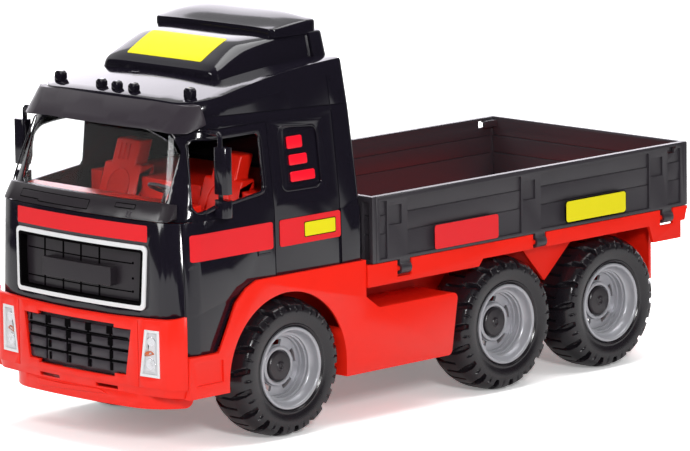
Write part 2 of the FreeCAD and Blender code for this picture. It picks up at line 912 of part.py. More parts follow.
def badge_wire(shrink, y):
    points = [(-badge_half_bottom + shrink, badge_bottom + shrink),
              (badge_half_bottom - shrink, badge_bottom + shrink),
              (badge_half_top - shrink, badge_top - shrink), (-badge_half_top + shrink, badge_top - shrink)]
    return rounded_wire(points, badge_corner - shrink / 2, front(y))


def back_band():
    """Lower rear corner of the cab, standing a little proud of the panels above it."""
    half = cab_half_low + overrun
    room = box(-half, half, back_band_front, cab_back_low + overrun, fender_top - overrun, back_band_top)
    return cab_block(-back_band_proud).common(room)


def cab_shell():
    """Hollow cab with screen and side windows cut, door lines, and the fender's seam."""
    shell = joined([cab_block(0), back_band()]).cut(cab_block(cab_wall))
    below = fender_line()
    below = [(fender_foot_y, cab_bottom - overrun)] + below
    below += [(cab_back_low + overrun, fender_top), (cab_back_low + overrun, cab_bottom - overrun)]
    half = cab_half_low + overrun
    grille = badge_slab(badge_band / 2)
    floor = box(-half, half, cab_nose_low - overrun, bumper_back, cab_bottom - overrun, cab_front_bottom)
    inner_half = cab_half_waist - cab_corner_low
    under = box(-inner_half, inner_half, cab_nose_low - overrun, cab_back_low + overrun,
                cab_bottom - overrun, cab_front_bottom)
    shell = shell.cut([screen_hole(), window_hole(), side_slab(below, -half, half), grille, floor, under])
    return shell.cut(door_grooves() + door_steps() + sleeper_recesses())


def thin(outline_points, x):
    """Narrow groove that follows an open line on the cab's side."""
    strips = []
    for (y0, z0), (y1, z1) in zip(outline_points, outline_points[1:]):
        along = V(0, y1 - y0, z1 - z0)
        run = along.Length
        along.normalize()
        across = V(0, -along.z, along.y) * (groove_width / 2)
        start = V(x, y0, z0)
        end = start + along * run
        loop = Part.makePolygon([start + across, end + across, end - across, start - across, start + across])
        strips.append(Part.Face(loop))
    return strips


def side_half_at(z):
    """Half width of the cab's side at one height."""
    if z <= waist_z:
        share = (z - cab_bottom) / (waist_z - cab_bottom)
        return cab_half_low + (cab_half_waist - cab_half_low) * share
    if z <= mid_z:
        share = (z - waist_z) / (mid_z - waist_z)
        return cab_half_waist + (cab_half_mid - cab_half_waist) * share
    share = (z - mid_z) / (roof_rear_z + roof_crown + overrun - mid_z)
    return cab_half_mid + (cab_half_top - cab_half_mid) * share


def door_grooves():
    cuts = []
    lines = [
        [(door_front, cab_front_bottom), (door_front, waist_z)],
        [(door_rear, fender_top), (door_rear, door_top)],
        [(window_front_top, door_top), (door_rear, door_top)],
        [(roof_front_y, roof_seam_front_z), (cab_back - cab_back_corner, roof_seam_rear_z)],
        [(back_band_front, fender_top), (back_band_front, back_seam_top)],
    ]
    core = cab_block(groove_depth)
    half = cab_half_low + overrun
    for line in lines:
        for face in thin(line, -half):
            cuts.append(face.extrude(V(2 * half, 0, 0)).cut(core))
    return cuts


def door_steps():
    """Lower door panel sunk a little below the crease."""
    points = [(door_front, step_top - overrun), (fender_foot_y, step_top - overrun), (fender_foot_y, step_top),
              (fender_shoulder_y, fender_shoulder_z), (fender_curve_y, door_step_rear_z),
              (door_front, door_step_front_z)]
    core = cab_block(door_step_depth)
    half = cab_half_low + overrun
    return [side_slab(points, -half, half).cut(core)]


def sleeper_recesses():
    points = [(sleeper_front, sleeper_bottom), (sleeper_rear, sleeper_bottom),
              (sleeper_rear, sleeper_top), (sleeper_front, sleeper_top)]
    half = cab_half_low + overrun
    core = cab_block(sleeper_recess)
    block = slab(rounded_wire(points, sleeper_corner, side(-half)), V(2 * half, 0, 0))
    return [block.cut(core)]


def sleeper_bars(hand):
    """Three red bars in the sleeper's recess, longer towards the bottom."""
    bars = []
    core = cab_block(sleeper_recess)
    skin = cab_block(sleeper_recess - sleeper_bar_proud)
    x0 = min(hand * cab_half_top / 2, hand * (cab_half_low + overrun))
    x1 = max(hand * cab_half_top / 2, hand * (cab_half_low + overrun))
    rows = zip(sleeper_bar_heights, sleeper_bar_lengths, sleeper_bar_drops, sleeper_bar_starts)
    for height, run, drop, start in rows:
        y0 = sleeper_front + start
        z1 = sleeper_top - drop
        points = [(y0, z1 - height), (y0 + run, z1 - height), (y0 + run, z1), (y0, z1)]
        bar = slab(rounded_wire(points, sleeper_bar_corner, side(x0)), V(x1 - x0, 0, 0))
        bars.append(bar.common(skin).cut(core))
    return Part.Compound(bars)


def windscreen():
    sheet = cab_block(cab_wall / 4).cut(cab_block(cab_wall / 4 + screen_thickness))
    return sheet.common(screen_hole())


def badge_slab(shrink):
    return slab(badge_wire(shrink, cab_nose_low - 2 * overrun), V(0, 6 * overrun, 0))


def grille_frame():
    """White rim round the upper grille, proud of the cab's bowed face and lining its opening."""
    opening = badge_slab(badge_band / 2)
    outside = badge_slab(0).cut(opening).cut(cab_block(0))
    lining = opening.cut(badge_slab(badge_band)).cut(cab_block(cab_wall))
    return joined([outside, lining]).common(cab_block(-badge_proud))


def grille_panel():
    """Sunk black panel with grid grooves and a plain raised bar in the middle."""
    opening = badge_slab(badge_band / 2 + seam / 2)
    plate = opening.common(cab_block(badge_recess)).cut(cab_block(badge_recess + badge_plate_thickness))
    bar = box(-name_bar_half, name_bar_half, cab_nose_low - overrun, cab_nose_low + 4 * overrun,
              name_bar_bottom, name_bar_top)
    raised = bar.common(cab_block(badge_recess - name_bar_proud)).cut(cab_block(badge_recess))
    groove_floor = cab_block(badge_recess + badge_groove_depth)
    cuts = []
    for i in range(-2, 3):
        x = i * badge_column_pitch
        groove = box(x - badge_groove / 2, x + badge_groove / 2, cab_nose_low - overrun,
                     cab_nose_low + 4 * overrun, badge_bottom + badge_band, badge_top - badge_band)
        cuts.append(groove.cut(bar).cut(groove_floor))
    for z in badge_row_heights:
        groove = box(-name_bar_half - badge_column_pitch, name_bar_half + badge_column_pitch,
                     cab_nose_low - overrun, cab_nose_low + 4 * overrun,
                     z - badge_groove / 2, z + badge_groove / 2)
        cuts.append(groove.cut(groove_floor))
    return joined([plate.cut(cuts), raised])


def strip_block(sections, back, shrink):
    """Solid bowed strip round the cab's front, cut off behind at back."""
    rings = [bow_wire(h - shrink, n + shrink, back + 2 * overrun, cab_bow_radius, c - shrink, overrun, z)
             for h, n, c, z in sections]
    block = Part.makeLoft(rings, True, True)
    half = sections[0][0] + overrun
    low = sections[0][3] - overrun
    high = sections[-1][3] + overrun
    return block.cut(box(-half, half, back, back + 4 * overrun, low, high))


def cowl_block():
    """Solid bowed strip from which the cowl is cut."""
    sections = [(side_half_at(cowl_bottom) + cowl_proud, cowl_nose_bottom, cowl_corner, cowl_bottom),
                (side_half_at(cowl_top) + cowl_proud, cowl_nose_top, cowl_corner, cowl_top)]
    return strip_block(sections, cowl_back, 0)


def cowl():
    """Sloped strip over the step below the windscreen, ending on the cab's corners."""
    points = [(-cowl_half, cowl_bottom), (cowl_half, cowl_bottom),
              (cowl_half, cowl_top), (-cowl_half, cowl_top)]
    radii = (cowl_end_corner, cowl_end_corner, 0, 0)
    outline = rounded_wire(points, radii, front(cowl_nose_bottom - overrun))
    face = slab(outline, V(0, cowl_back - cowl_nose_bottom, 0))
    return cowl_block().common(face).cut(cab_block(0))


def visor():
    """Sun visor over the windscreen, hollow from below and wrapped round the corners."""
    bottom = (side_half_at(visor_bottom) + visor_proud_low, visor_nose_bottom, visor_corner_low, visor_bottom)
    top = (side_half_at(visor_top) + visor_proud_high, visor_nose_top, visor_corner_high, visor_top)
    block = strip_block([bottom, top], visor_back, 0).cut([cab_block(0), roof_cutter(visor_top_drop)])
    pocket = strip_block([bottom, top], visor_back - visor_corner_low, visor_wall)
    pocket.translate(V(0, 0, -visor_wall))
    half = visor_hollow_half
    room = box(-half, half, visor_nose_bottom - overrun, visor_back, visor_bottom - 2 * overrun, visor_top)
    low = visor_bottom - overrun
    brow = [(-visor_brow_outer, low), (-visor_brow_outer, visor_bottom),
            (-visor_brow_inner, visor_bottom + visor_brow_rise), (visor_brow_inner, visor_bottom + visor_brow_rise),
            (visor_brow_outer, visor_bottom), (visor_brow_outer, low)]
    ends = [(visor_end_front, low), (visor_end_front, visor_bottom),
            (visor_back, visor_bottom + visor_end_rise), (visor_back + overrun, low)]
    reach = cab_half_low + overrun
    return block.cut([pocket.common(room), front_slab(brow, visor_nose_bottom - overrun, visor_back),
                      side_slab(ends, -reach, reach)])


def roof_height(x, y):
    edge, crown = roof_line(y)
    return edge + crown * (1 - (x / cab_half_top) ** 2)


def roof_lamps():
    """Five small blunt lamps along the roof's front edge."""
    lamps = []
    rows = zip(roof_lamp_places, roof_lamp_fronts, roof_lamp_halves, roof_lamp_heights)
    for x, y, half, height in rows:
        z = roof_height(x, y)
        top = z + height
        shoulder = top - roof_lamp_chamfer
        points = [(x - half, z - overrun), (x + half, z - overrun), (x + half, shoulder),
                  (x + half - roof_lamp_chamfer, top), (x - half + roof_lamp_chamfer, top), (x - half, shoulder)]
        lamps.append(front_slab(points, y, y + roof_lamp_length).cut(cab_block(0)))
    return Part.Compound(lamps)


def hood_section(y, base_half, base_z, ridge_half, ridge_z, crown_z):
    """Cross-section with sloping sides and a crowned top."""
    a = V(-base_half, y, base_z)
    b = V(base_half, y, base_z)
    c = V(ridge_half, y, ridge_z)
    d = V(-ridge_half, y, ridge_z)
    return Part.Wire([Part.LineSegment(a, b).toShape(), Part.LineSegment(b, c).toShape(),
                      Part.Arc(c, V(0, y, crown_z), d).toShape(), Part.LineSegment(d, a).toShape()])


def rounded_plan(half, y0, y1, corner):
    """Tall block whose two rear corners are rounded in plan."""
    points = [(-half, y0), (half, y0), (half, y1), (-half, y1)]
    high = spoiler_crown_heights[-1] + overrun
    return slab(rounded_wire(points, (0, 0, corner, corner), plan(roof_front_z)), V(0, 0, high - roof_front_z))


def roof_fairing():
    """Sloping hood on the roof with a slightly wider block behind it."""
    base = roof_front_z
    rows = zip(fairing_places, fairing_base_halves, fairing_ridge_halves,
               fairing_ridge_heights, fairing_crown_heights)
    hood = Part.makeLoft([hood_section(y, b, base, r, z, c) for y, b, r, z, c in rows], True, True)
    section = hood_section(fairing_places[-1], fairing_block_base, base, fairing_block_ridge,
                           fairing_block_side_z, fairing_block_crown_z)
    block = Part.Face(section).extrude(V(0, fairing_block_rear - fairing_places[-1], 0))
    rounding = rounded_plan(fairing_block_base, fairing_places[0], fairing_block_rear, fairing_block_corner)
    return joined([hood, block.common(rounding)]).cut(cab_block(0))


def roof_spoiler():
    """Crowned wing over the fairing's upper end."""
    rows = zip(spoiler_places, spoiler_halves, spoiler_side_heights, spoiler_crown_heights)
    wing = Part.makeLoft([hood_section(y, h, spoiler_low, h, z, c) for y, h, z, c in rows], True, True)
    rounding = rounded_plan(spoiler_halves[-1], fairing_places[0], spoiler_places[-1], spoiler_corner)
    return wing.common(rounding).cut(roof_fairing())


def arm_path(points):
    """Round rod through some points, with a ball at each bend."""
    pieces = []
    for start, end in zip(points, points[1:]):
        run = end - start
        pieces.append(Part.makeCylinder(mirror_arm, run.Length, start, run))
        pieces.append(Part.makeSphere(mirror_arm, end))
    return pieces


def mirror_unit(hand):
    """Tall mirror with a small one below it, carried by two arms from the screen pillar."""
    y0 = mirror_front
    y1 = mirror_front + mirror_depth

    def house(z0, z1):
        points = [(mirror_inner, y0), (mirror_outer, y0), (mirror_outer, y1), (mirror_inner, y1)]
        return slab(rounded_wire(points, mirror_corner, plan(z0)), V(0, 0, z1 - z0))

    x_neck = mirror_inner + 2 * mirror_arm
    y_mid = (y0 + y1) / 2
    link = Part.makeCylinder(mirror_arm, mirror_bottom - mirror_small_top + 2 * overrun,
                             V(x_neck, y_mid, mirror_small_top - overrun))
    bend_z = mirror_top + mirror_arm_rise
    upper = [V(x_neck, y_mid, mirror_top - overrun), V(x_neck, y_mid, bend_z - mirror_arm),
             V(x_neck - mirror_arm, y_mid, bend_z), V(side_half_at(bend_z) - cab_wall, y_mid, bend_z)]
    lower = [V(mirror_root_x, mirror_root_y, mirror_root_z),
             V(x_neck, y_mid, mirror_small_top - 2 * mirror_arm)]
    houses = joined([house(mirror_bottom, mirror_top), link, house(mirror_small_bottom, mirror_small_top)])
    arms = joined(arm_path(upper) + arm_path(lower)).cut([cab_block(0), cowl()])
    unit = joined([houses, arms])
    return unit if hand > 0 else mirrored(unit)


def tub_block():
    outline = [
        (tub_front, tub_floor), (tub_back, tub_floor), (tub_back, bench_top), (bench_front, bench_top),
        (bench_front, tub_floor + tub_wall), (dash_back, tub_floor + tub_wall), (dash_back, dash_top),
        (tub_front, dash_front_z),
    ]
    return side_slab(outline, -tub_half, tub_half)


def interior():
    """Red moulding with the dash, the floor and the bench behind the seats."""
    half = tub_half - tub_wall
    bench = box(-half, half, bench_front + tub_wall, tub_back - tub_wall,
                tub_floor - overrun, bench_top - bench_pad)
    dash = box(-half, half, tub_front + tub_wall, dash_back - tub_wall,
               tub_floor - overrun, dash_front_z - tub_wall)
    return tub_block().cut([bench, dash]).common(cab_block(cab_wall + seam))


def seat(hand):
    """Leaning seat back over the bench's front edge, with a narrower headrest."""
    shoulder_y = seat_foot_front + seat_lean_share * (seat_shoulder - seat_foot_z)
    head_y = seat_foot_front + seat_lean_share * (seat_top - seat_foot_z)
    ledge = bench_top + seat_gap
    outline = [
        (seat_foot_front, seat_foot_z), (bench_front - seat_gap, seat_foot_z), (bench_front - seat_gap, ledge),
        (shoulder_y + seat_thickness, ledge), (shoulder_y + seat_thickness, seat_shoulder),
        (shoulder_y, seat_shoulder),
    ]
    center = hand * seat_center
    back = side_slab(outline, center - seat_half, center + seat_half)
    head_outline = [
        (shoulder_y, seat_shoulder), (shoulder_y + seat_thickness, seat_shoulder),
        (head_y + seat_thickness, seat_top), (head_y, seat_top),
    ]
    head = side_slab(head_outline, center - seat_head_half, center + seat_head_half)
    return joined([back, head])


def steering_wheel():
    """Thin wheel on a short column that rises from the dash."""
    center = V(0, 0, 0)
    tilt = steering_tilt
    ring = Part.makeTorus(steering_radius, steering_grip, center, V(0, 0, 1))
    hub = Part.makeCylinder(column_radius, column_radius, V(0, 0, -column_radius / 2))
    spokes = []
    for angle in (0, 120, 240):
        spoke = box(0, steering_radius, -steering_grip / 2, steering_grip / 2,
                    -steering_grip / 2, steering_grip / 2)
        spoke.rotate(center, V(0, 0, 1), angle - 90)
        spokes.append(spoke)
    column = Part.makeCylinder(column_radius / 2, column_length, V(0, 0, -column_length))
    unit = joined([ring, hub, column] + spokes)
    unit.rotate(center, V(1, 0, 0), -tilt)
    unit.translate(V(steering_x, steering_y, steering_z))
    return unit.cut(tub_block())


def skirt_outline():
    """Side outline of the step, the fender and the tank box, without the arch, and its corner radii."""
    front_side = [(skirt_front, skirt_bottom_front), (skirt_front, step_top)]
    rear_side = [
        (fender_rear, fender_rear_low),
        (tank_notch_y, tank_top),
        (tank_rear_top, tank_top),
        (tank_rear_bottom, skirt_bottom_rear),
        (arch_center_y + arch_radius, skirt_bottom_rear),
    ]
    points = front_side + fender_line() + rear_side + [(arch_center_y, skirt_bottom_front)]
    radii = [0] * len(points)
    for i, point in enumerate(points):
        if point in ((tank_rear_top, tank_top), (tank_rear_bottom, skirt_bottom_rear), (tank_notch_y, tank_top)):
            radii[i] = tank_corner
    return points, radii


def grown_arch(radius, x0, x1):
    cylinder = rod_x(radius, x0, x1, arch_center_y, arch_center_z)
    legs = box(x0, x1, arch_center_y - radius, arch_center_y + radius,
               skirt_bottom_rear - 4 * overrun, arch_center_z)
    return joined([cylinder, legs])


def skirt():
    """Left step, wheel arch and tank box in one thin-walled moulding, open towards the frame."""
    outline, radii = skirt_outline()
    block = slab(rounded_wire(outline, radii, side(skirt_inner)), V(skirt_outer - skirt_inner, 0, 0))
    block = block.cut(grown_arch(arch_radius, skirt_inner - overrun, skirt_outer + overrun))
    hollow_face = Part.Face(rounded_wire(outline, radii, side(skirt_inner - overrun)).makeOffset2D(-skirt_wall))
    hollow = hollow_face.extrude(V(skirt_outer - skirt_inner + overrun - skirt_wall, 0, 0))
    hollow = hollow.cut(grown_arch(arch_radius + skirt_wall, skirt_inner - 2 * overrun, skirt_outer + overrun))
    recess = box(skirt_outer - step_recess_depth, skirt_outer + overrun, step_recess_front, step_recess_rear,
                 step_recess_bottom, step_recess_top)
    return block.cut([hollow, recess]).cut(cab_block(-seam))


def grille_outline(shrink):
    top = grille_top - shrink
    low = grille_bottom + shrink
    half_top = grille_half_top - shrink
    half_low = grille_half_bottom - shrink
    step = grille_step_half
    right = [(half_low, low), (half_top, top), (step, top), (step, top + grille_step)]
    left = [(-x, z) for x, z in reversed(right)]
    return left + [(-step, low), (-step, low - grille_step), (step, low - grille_step), (step, low)] + right


def lamp_outline(shrink, hand):
    points = [
        (lamp_bottom_inner + shrink, lamp_bottom + shrink), (lamp_bottom_outer - shrink, lamp_bottom + shrink),
        (lamp_top_outer - shrink, lamp_top - shrink), (lamp_top_inner + shrink, lamp_top - shrink),
    ]
    return [(hand * x, z) for x, z in points]


def bumper_block(inset):
    def ring(z, chin):
        return bow_wire(bumper_half - inset - chin, bumper_nose + inset + chin, bumper_block_back,
                        bumper_bow_radius, bumper_corner - inset, overrun, z)

    chin = [ring(bumper_bottom, bumper_chin_inset), ring(bumper_crease, bumper_chin_inset / 2)]
    low = Part.makeLoft(chin, True, True)
    high = Part.makeLoft([ring(bumper_crease, 0), ring(bumper_side_top, 0)], True, True)
    return joined([low, high])


def dam_block(inset):
    def ring(z):
        return bow_wire(dam_half - inset, dam_nose + inset, bumper_block_back, bumper_bow_radius,
                        dam_corner - inset, overrun, z)

    return Part.makeLoft([ring(dam_bottom), ring(bumper_bottom)], True, True)


def bumper_wedge(half):
    """Room above the bumper's top edge, which rises from the front towards the sides' ends."""
    high = bumper_side_top + overrun
    points = [(bumper_nose - overrun, bumper_top), (bumper_nose, bumper_top), (bumper_back, bumper_side_top),
              (bumper_back, high), (bumper_nose - overrun, high)]
    return side_slab(points, -half, half)


def dam_heel(half):
    """Room below and behind the air dam's rounded rear end."""
    y = dam_back - dam_heel_radius
    z = dam_bottom + dam_heel_radius
    corner = box(-half, half, y, dam_back + overrun, dam_bottom - overrun, z)
    return corner.cut(rod_x(dam_heel_radius, -half, half, y, z))


def bumper():
    """Red front bumper with openings for the grille and the headlamps, and its air dam."""
    half = bumper_half + overrun
    shell = bumper_block(0).cut(bumper_block(bumper_wall))
    shell = shell.cut(box(-half, half, bumper_back, bumper_block_back, dam_bottom, bumper_side_top + overrun))
    dam = dam_block(0).cut(dam_block(bumper_wall))
    dam = dam.cut([box(-half, half, dam_back, bumper_block_back, dam_bottom - overrun, bumper_top),
                   box(-half, half, bumper_back, dam_back, skirt_bottom_front - seam, bumper_top), dam_heel(half)])
    layer = box(-half, half, bumper_nose, bumper_back, bumper_bottom - bumper_wall, bumper_bottom)
    shelf = dam_block(0).common(layer)
    body = joined([shell, dam, shelf])
    cuts = [front_slab(grille_outline(0), bumper_nose - overrun, bumper_back), bumper_wedge(half)]
    skin = bumper_block(bumper_seam_depth)
    for hand in (-1, 1):
        cuts.append(front_slab(lamp_outline(0, hand), bumper_nose - overrun, bumper_back))
        x0 = min(hand * slot_inner, hand * slot_outer)
        x1 = max(hand * slot_inner, hand * slot_outer)
        cuts.append(box(x0, x1, bumper_nose - overrun, bumper_nose + 2 * overrun,
                        bumper_bottom + slot_height / 2, bumper_bottom + 3 * slot_height / 2))
        x0 = hand * bumper_seam_x - bumper_seam_width / 2
        seam_line = box(x0, x0 + bumper_seam_width, bumper_nose - overrun, bumper_back,
                        bumper_crease, bumper_top)
        cuts.append(seam_line.cut(skin))
    return body.cut(cuts)


def bumper_grille():
    """Black plate behind the bumper's opening, with rows of raised pads."""
    opening = front_slab(grille_outline(seam / 4), bumper_nose - overrun, bumper_back)
    plate = opening.common(bumper_block(grille_depth)).cut(bumper_block(grille_depth + grille_pad))
    pads = []
    pitch_x = 2 * grille_half_top / grille_columns
    pitch_z = (grille_top - grille_bottom) / grille_rows
    shell = bumper_block(grille_depth - grille_pad)
    core = bumper_block(grille_depth)
    for row in range(grille_rows):
        z0 = grille_bottom + row * pitch_z
        for column in range(grille_columns):
            x0 = -grille_half_top + column * pitch_x
            pad = box(x0 + grille_gap, x0 + pitch_x, bumper_nose - overrun, bumper_back,
                      z0 + grille_gap / 3, z0 + pitch_z - grille_gap / 3)
            pads.append(pad.common(opening).common(shell).cut(core))
    return joined([plate] + pads)


def headlamp_bezel(hand):
    outer = front_slab(lamp_outline(0, hand), bumper_nose - 2 * overrun, bumper_back)
    inner = front_slab(lamp_outline(lamp_bezel, hand), bumper_nose - 3 * overrun, bumper_back + overrun)
    return outer.common(bumper_block(-lamp_proud)).cut(bumper_block(lamp_depth)).cut(inner)


def headlamp_lens(hand):
    inner = front_slab(lamp_outline(lamp_bezel, hand), bumper_nose - 2 * overrun, bumper_back)
    return inner.common(bumper_block(lamp_lens_set)).cut(bumper_block(lamp_depth))


def all_nodes():
    nodes = {
        "chassis": chassis(),
        "bed_deck": deck(),
        "board_front": front_board(),
        "board_tail": tail_board(),
        "cab_shell": cab_shell(),
        "windscreen": windscreen(),
        "grille_frame": grille_frame(),
        "grille_panel": grille_panel(),
        "cowl": cowl(),
        "visor": visor(),
        "roof_lamps": roof_lamps(),
        "roof_fairing": roof_fairing(),
        "roof_spoiler": roof_spoiler(),
        "interior": interior(),
        "steering_wheel": steering_wheel(),
        "bumper": bumper(),
        "bumper_grille": bumper_grille(),
    }
    left_board = side_board()
    left_skirt = skirt()
    for hand, name in ((1, "left"), (-1, "right")):
        nodes["board_" + name] = left_board if hand > 0 else mirrored(left_board)
        nodes["skirt_" + name] = left_skirt if hand > 0 else mirrored(left_skirt)
        nodes["mirror_" + name] = mirror_unit(hand)
        nodes["seat_" + name] = seat(hand)
        nodes["sleeper_bars_" + name] = sleeper_bars(hand)
        nodes["headlamp_bezel_" + name] = headlamp_bezel(hand)
        nodes["headlamp_lens_" + name] = headlamp_lens(hand)
    for place, y in zip(("front", "middle", "rear"), axle_places):
        nodes["axle_" + place] = axle(y)
    nodes.update(wheel_nodes())
    return nodes


if __name__ == "__main__":
    for name, shape in all_nodes().items():
        shape.translate(shift)
        shape.exportStep("parts/%s.step" % name)
        print(name, len(shape.Solids), round(shape.Volume), shape.isValid())
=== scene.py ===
# %% [markdown]
# # A toy drop-side truck
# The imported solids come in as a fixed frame. Each moulded piece then gets its rounded edges,
# its fine detail and its plastic around that frame. Everything is in metres. The truck faces
# -Y, +X is its left side and the ground is at Z = 0.

# %% Load the frame
import math

import bmesh
import bpy
from mathutils import Matrix, Vector
from mathutils.bvhtree import BVHTree


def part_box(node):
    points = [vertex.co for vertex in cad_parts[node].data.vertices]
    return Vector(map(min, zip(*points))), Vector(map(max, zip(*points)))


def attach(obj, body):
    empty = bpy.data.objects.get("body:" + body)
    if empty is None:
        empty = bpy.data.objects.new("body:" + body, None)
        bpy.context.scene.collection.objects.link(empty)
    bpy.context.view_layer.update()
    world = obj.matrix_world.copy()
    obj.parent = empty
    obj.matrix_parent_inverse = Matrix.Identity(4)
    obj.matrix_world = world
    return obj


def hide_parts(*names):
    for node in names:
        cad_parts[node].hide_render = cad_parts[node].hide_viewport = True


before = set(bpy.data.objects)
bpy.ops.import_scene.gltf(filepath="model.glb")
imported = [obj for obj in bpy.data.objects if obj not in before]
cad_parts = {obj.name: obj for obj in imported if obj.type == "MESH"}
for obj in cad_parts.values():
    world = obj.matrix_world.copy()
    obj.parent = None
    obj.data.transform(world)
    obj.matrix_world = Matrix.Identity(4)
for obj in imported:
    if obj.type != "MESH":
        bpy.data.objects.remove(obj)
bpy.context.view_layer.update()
MM = 0.001
FRONT_AXLE_Y = -175.25
HANDS = ("left", "right")
PLACES = ("front", "middle", "rear")


def at(x, y, z):
    """A point drawn from the front axle in millimetres, as a point of the scene."""
    return Vector((x, y + FRONT_AXLE_Y, z)) * MM


def linked(name, data):
    """A new object of the scene that holds a mesh, a lamp or a camera."""
    thing = bpy.data.objects.new(name, data)
    bpy.context.scene.collection.objects.link(thing)
    return thing


# %% [markdown]
# ## Camera
# The photograph is taken from far away with a long lens, from the truck's front left and a
# little above it. The camera is built from those two angles, its distance and its small
# roll, so that the whole frame can be checked against a few plain numbers.

# %% Camera
CAMERA_TURN = 45.27
CAMERA_RISE = 9.76
CAMERA_ROLL = -0.83
CAMERA_AWAY = 4.761
CAMERA_LENS = 289.3
CAMERA_SENSOR = 36
CAMERA_REACH = 50
CAMERA_MIDDLE = (0, 230, 115)
CAMERA_RIGHT, CAMERA_UP = -37.6, 18.2


def build_camera():
    turn = math.radians(CAMERA_TURN)
    rise = math.radians(CAMERA_RISE)
    roll = math.radians(CAMERA_ROLL)
    back = Vector((math.sin(turn) * math.cos(rise), -math.cos(turn) * math.cos(rise), math.sin(rise)))
    right = Vector((math.cos(turn), math.sin(turn), 0))
    up = back.cross(right)
    right_rolled = right * math.cos(roll) + up * math.sin(roll)
    up_rolled = up * math.cos(roll) - right * math.sin(roll)
    place = at(*CAMERA_MIDDLE) + back * CAMERA_AWAY + (right * CAMERA_RIGHT + up * CAMERA_UP) * MM
    data = bpy.data.cameras.new("photo_camera")
    data.lens = CAMERA_LENS
    data.sensor_width = CAMERA_SENSOR
    data.clip_end = CAMERA_REACH
    camera = linked("photo_camera", data)
    turned = Matrix((right_rolled, up_rolled, back)).transposed().to_4x4()
    camera.matrix_world = Matrix.Translation(place) @ turned
    bpy.context.scene.camera = camera
    return camera


camera = build_camera()
print("camera at", [round(v, 3) for v in camera.location])

# %% [markdown]
# ## Studio
# A toy photographed for a shop stands on a white sweep in front of a bright backdrop, in a room
# that is dark beside and behind the camera. That is why its black sides stay deep while its
# roof carries a white glare. The floor and the world therefore know which way is behind the
# truck, and show white to the camera whichever way it looks.

# %% Sweep and lamps
FLOOR_REACH = 3.0
FLOOR_LEVEL = -0.0002
BACKDROP_WAY = Vector((-0.70, 0.70, 0.12)).normalized()
WHITE_LIGHT = (1, 1, 1)
# Each lamp has its place, what it aims at, its size, its power and its colour.
LAMPS = {
    "overhead": ((0.1, 0.3, 2.2), (0, 0.05, 0.1), (1.8, 1.8), 44, WHITE_LIGHT),
    "front_left": ((2.2, -1.5, 1.2), (0, 0, 0.12), (0.3, 0.45), 34, WHITE_LIGHT),
    "front_right": ((-0.9, -2.4, 1.2), (0, 0, 0.12), (0.8, 0.9), 20, WHITE_LIGHT),
    "backdrop_glare": ((-1.75, 1.85, 1.35), (0, 0, 1.35), (3.4, 2.4), 68, (0.95, 0.90, 1.0)),
}


def build_sweep():
    mesh = bpy.data.meshes.new("sweep")
    r = FLOOR_REACH
    corners = [(x, y, FLOOR_LEVEL) for x, y in ((-r, -r), (r, -r), (r, r), (-r, r))]
    mesh.from_pydata(corners, [], [(0, 1, 2, 3)])
    sweep = linked("sweep", mesh)
    return sweep


def lamp(name, place, aim, size, power, colour):
    data = bpy.data.lights.new(name, "AREA")
    data.shape = "RECTANGLE"
    data.size, data.size_y = size
    data.energy = power
    data.color = colour
    light = linked(name, data)
    light.location = place
    light.rotation_euler = (Vector(aim) - Vector(place)).to_track_quat("-Z", "Y").to_euler()
    return light


sweep = build_sweep()
lamps = {name: lamp(name, *facts) for name, facts in LAMPS.items()}
lamps["backdrop_glare"].visible_camera = False
lamps["backdrop_glare"].visible_diffuse = False
print(len(lamps), "lamps placed")

# %% [markdown]
# ## Shader helpers
# A node tree is easier to read as short sums than as a long list of links. Most of these
# functions take numbers or sockets and give back the socket that holds the result.

# %% Shared shader helpers


def fill(node, inputs):
    """Give a node's inputs numbers or sockets, each by its name or its place."""
    for name, value in inputs.items():
        if isinstance(value, bpy.types.NodeSocket):
            node.id_data.links.new(value, node.inputs[name])
        else:
            node.inputs[name].default_value = value


def new_node(tree, kind, inputs, operation=None):
    """A new shader node with its inputs filled."""
    node = tree.nodes.new("ShaderNode" + kind)
    if operation:
        node.operation = operation
    fill(node, inputs)
    return node


def math_node(tree, operation, *values):
    """One step of arithmetic on numbers or sockets."""
    return new_node(tree, "Math", dict(enumerate(values)), operation).outputs[0]


def blend(tree, share, low, high):
    """low where share is 0 and high where it is 1, for numbers or sockets."""
    return new_node(tree, "Mix", {0: share, 2: low, 3: high}).outputs[0]


def smooth_ramp(tree, value, start, end):
    """0 below start, 1 above end and a smooth step between them."""
    ramp = new_node(tree, "MapRange", {"Value": value, "From Min": start, "From Max": end})
    ramp.interpolation_type = "SMOOTHSTEP"
    return ramp.outputs["Result"]


def facing_backdrop(tree, vector, start, end):
    """0 away from the backdrop and 1 towards it, for a direction or a place."""
    along = new_node(tree, "VectorMath", {0: vector, 1: BACKDROP_WAY}, "DOT_PRODUCT")
    return smooth_ramp(tree, along.outputs["Value"], start, end)


def beyond(tree, position, middle, start, end):
    """0 within a distance of the middle and 1 beyond a larger one."""
    away = new_node(tree, "VectorMath", {0: position, 1: middle}, "DISTANCE")
    return smooth_ramp(tree, away.outputs["Value"], start, end)


def seen_ray(tree, ray):
    """1 for what the camera sees, straight or through the clear sheet."""
    return math_node(tree, "MAXIMUM", ray["Is Camera Ray"], ray["Is Transmission Ray"])


def bare_material(name):
    """A new material with its node tree and its Principled shader."""
    material = bpy.data.materials.new(name)
    material.use_nodes = True
    return material, material.node_tree, material.node_tree.nodes["Principled BSDF"]


# %% [markdown]
# ## World
# The camera sees plain white. Mirrored rays see white only towards the backdrop, so that glossy
# black plastic stays black elsewhere. Soft rays get one even fill.

# %% World
WORLD_FROM, WORLD_TO = 0.25, 0.75
WORLD_SEEN = 1.0
WORLD_FILL = 0.36
WORLD_DARK = 0.03


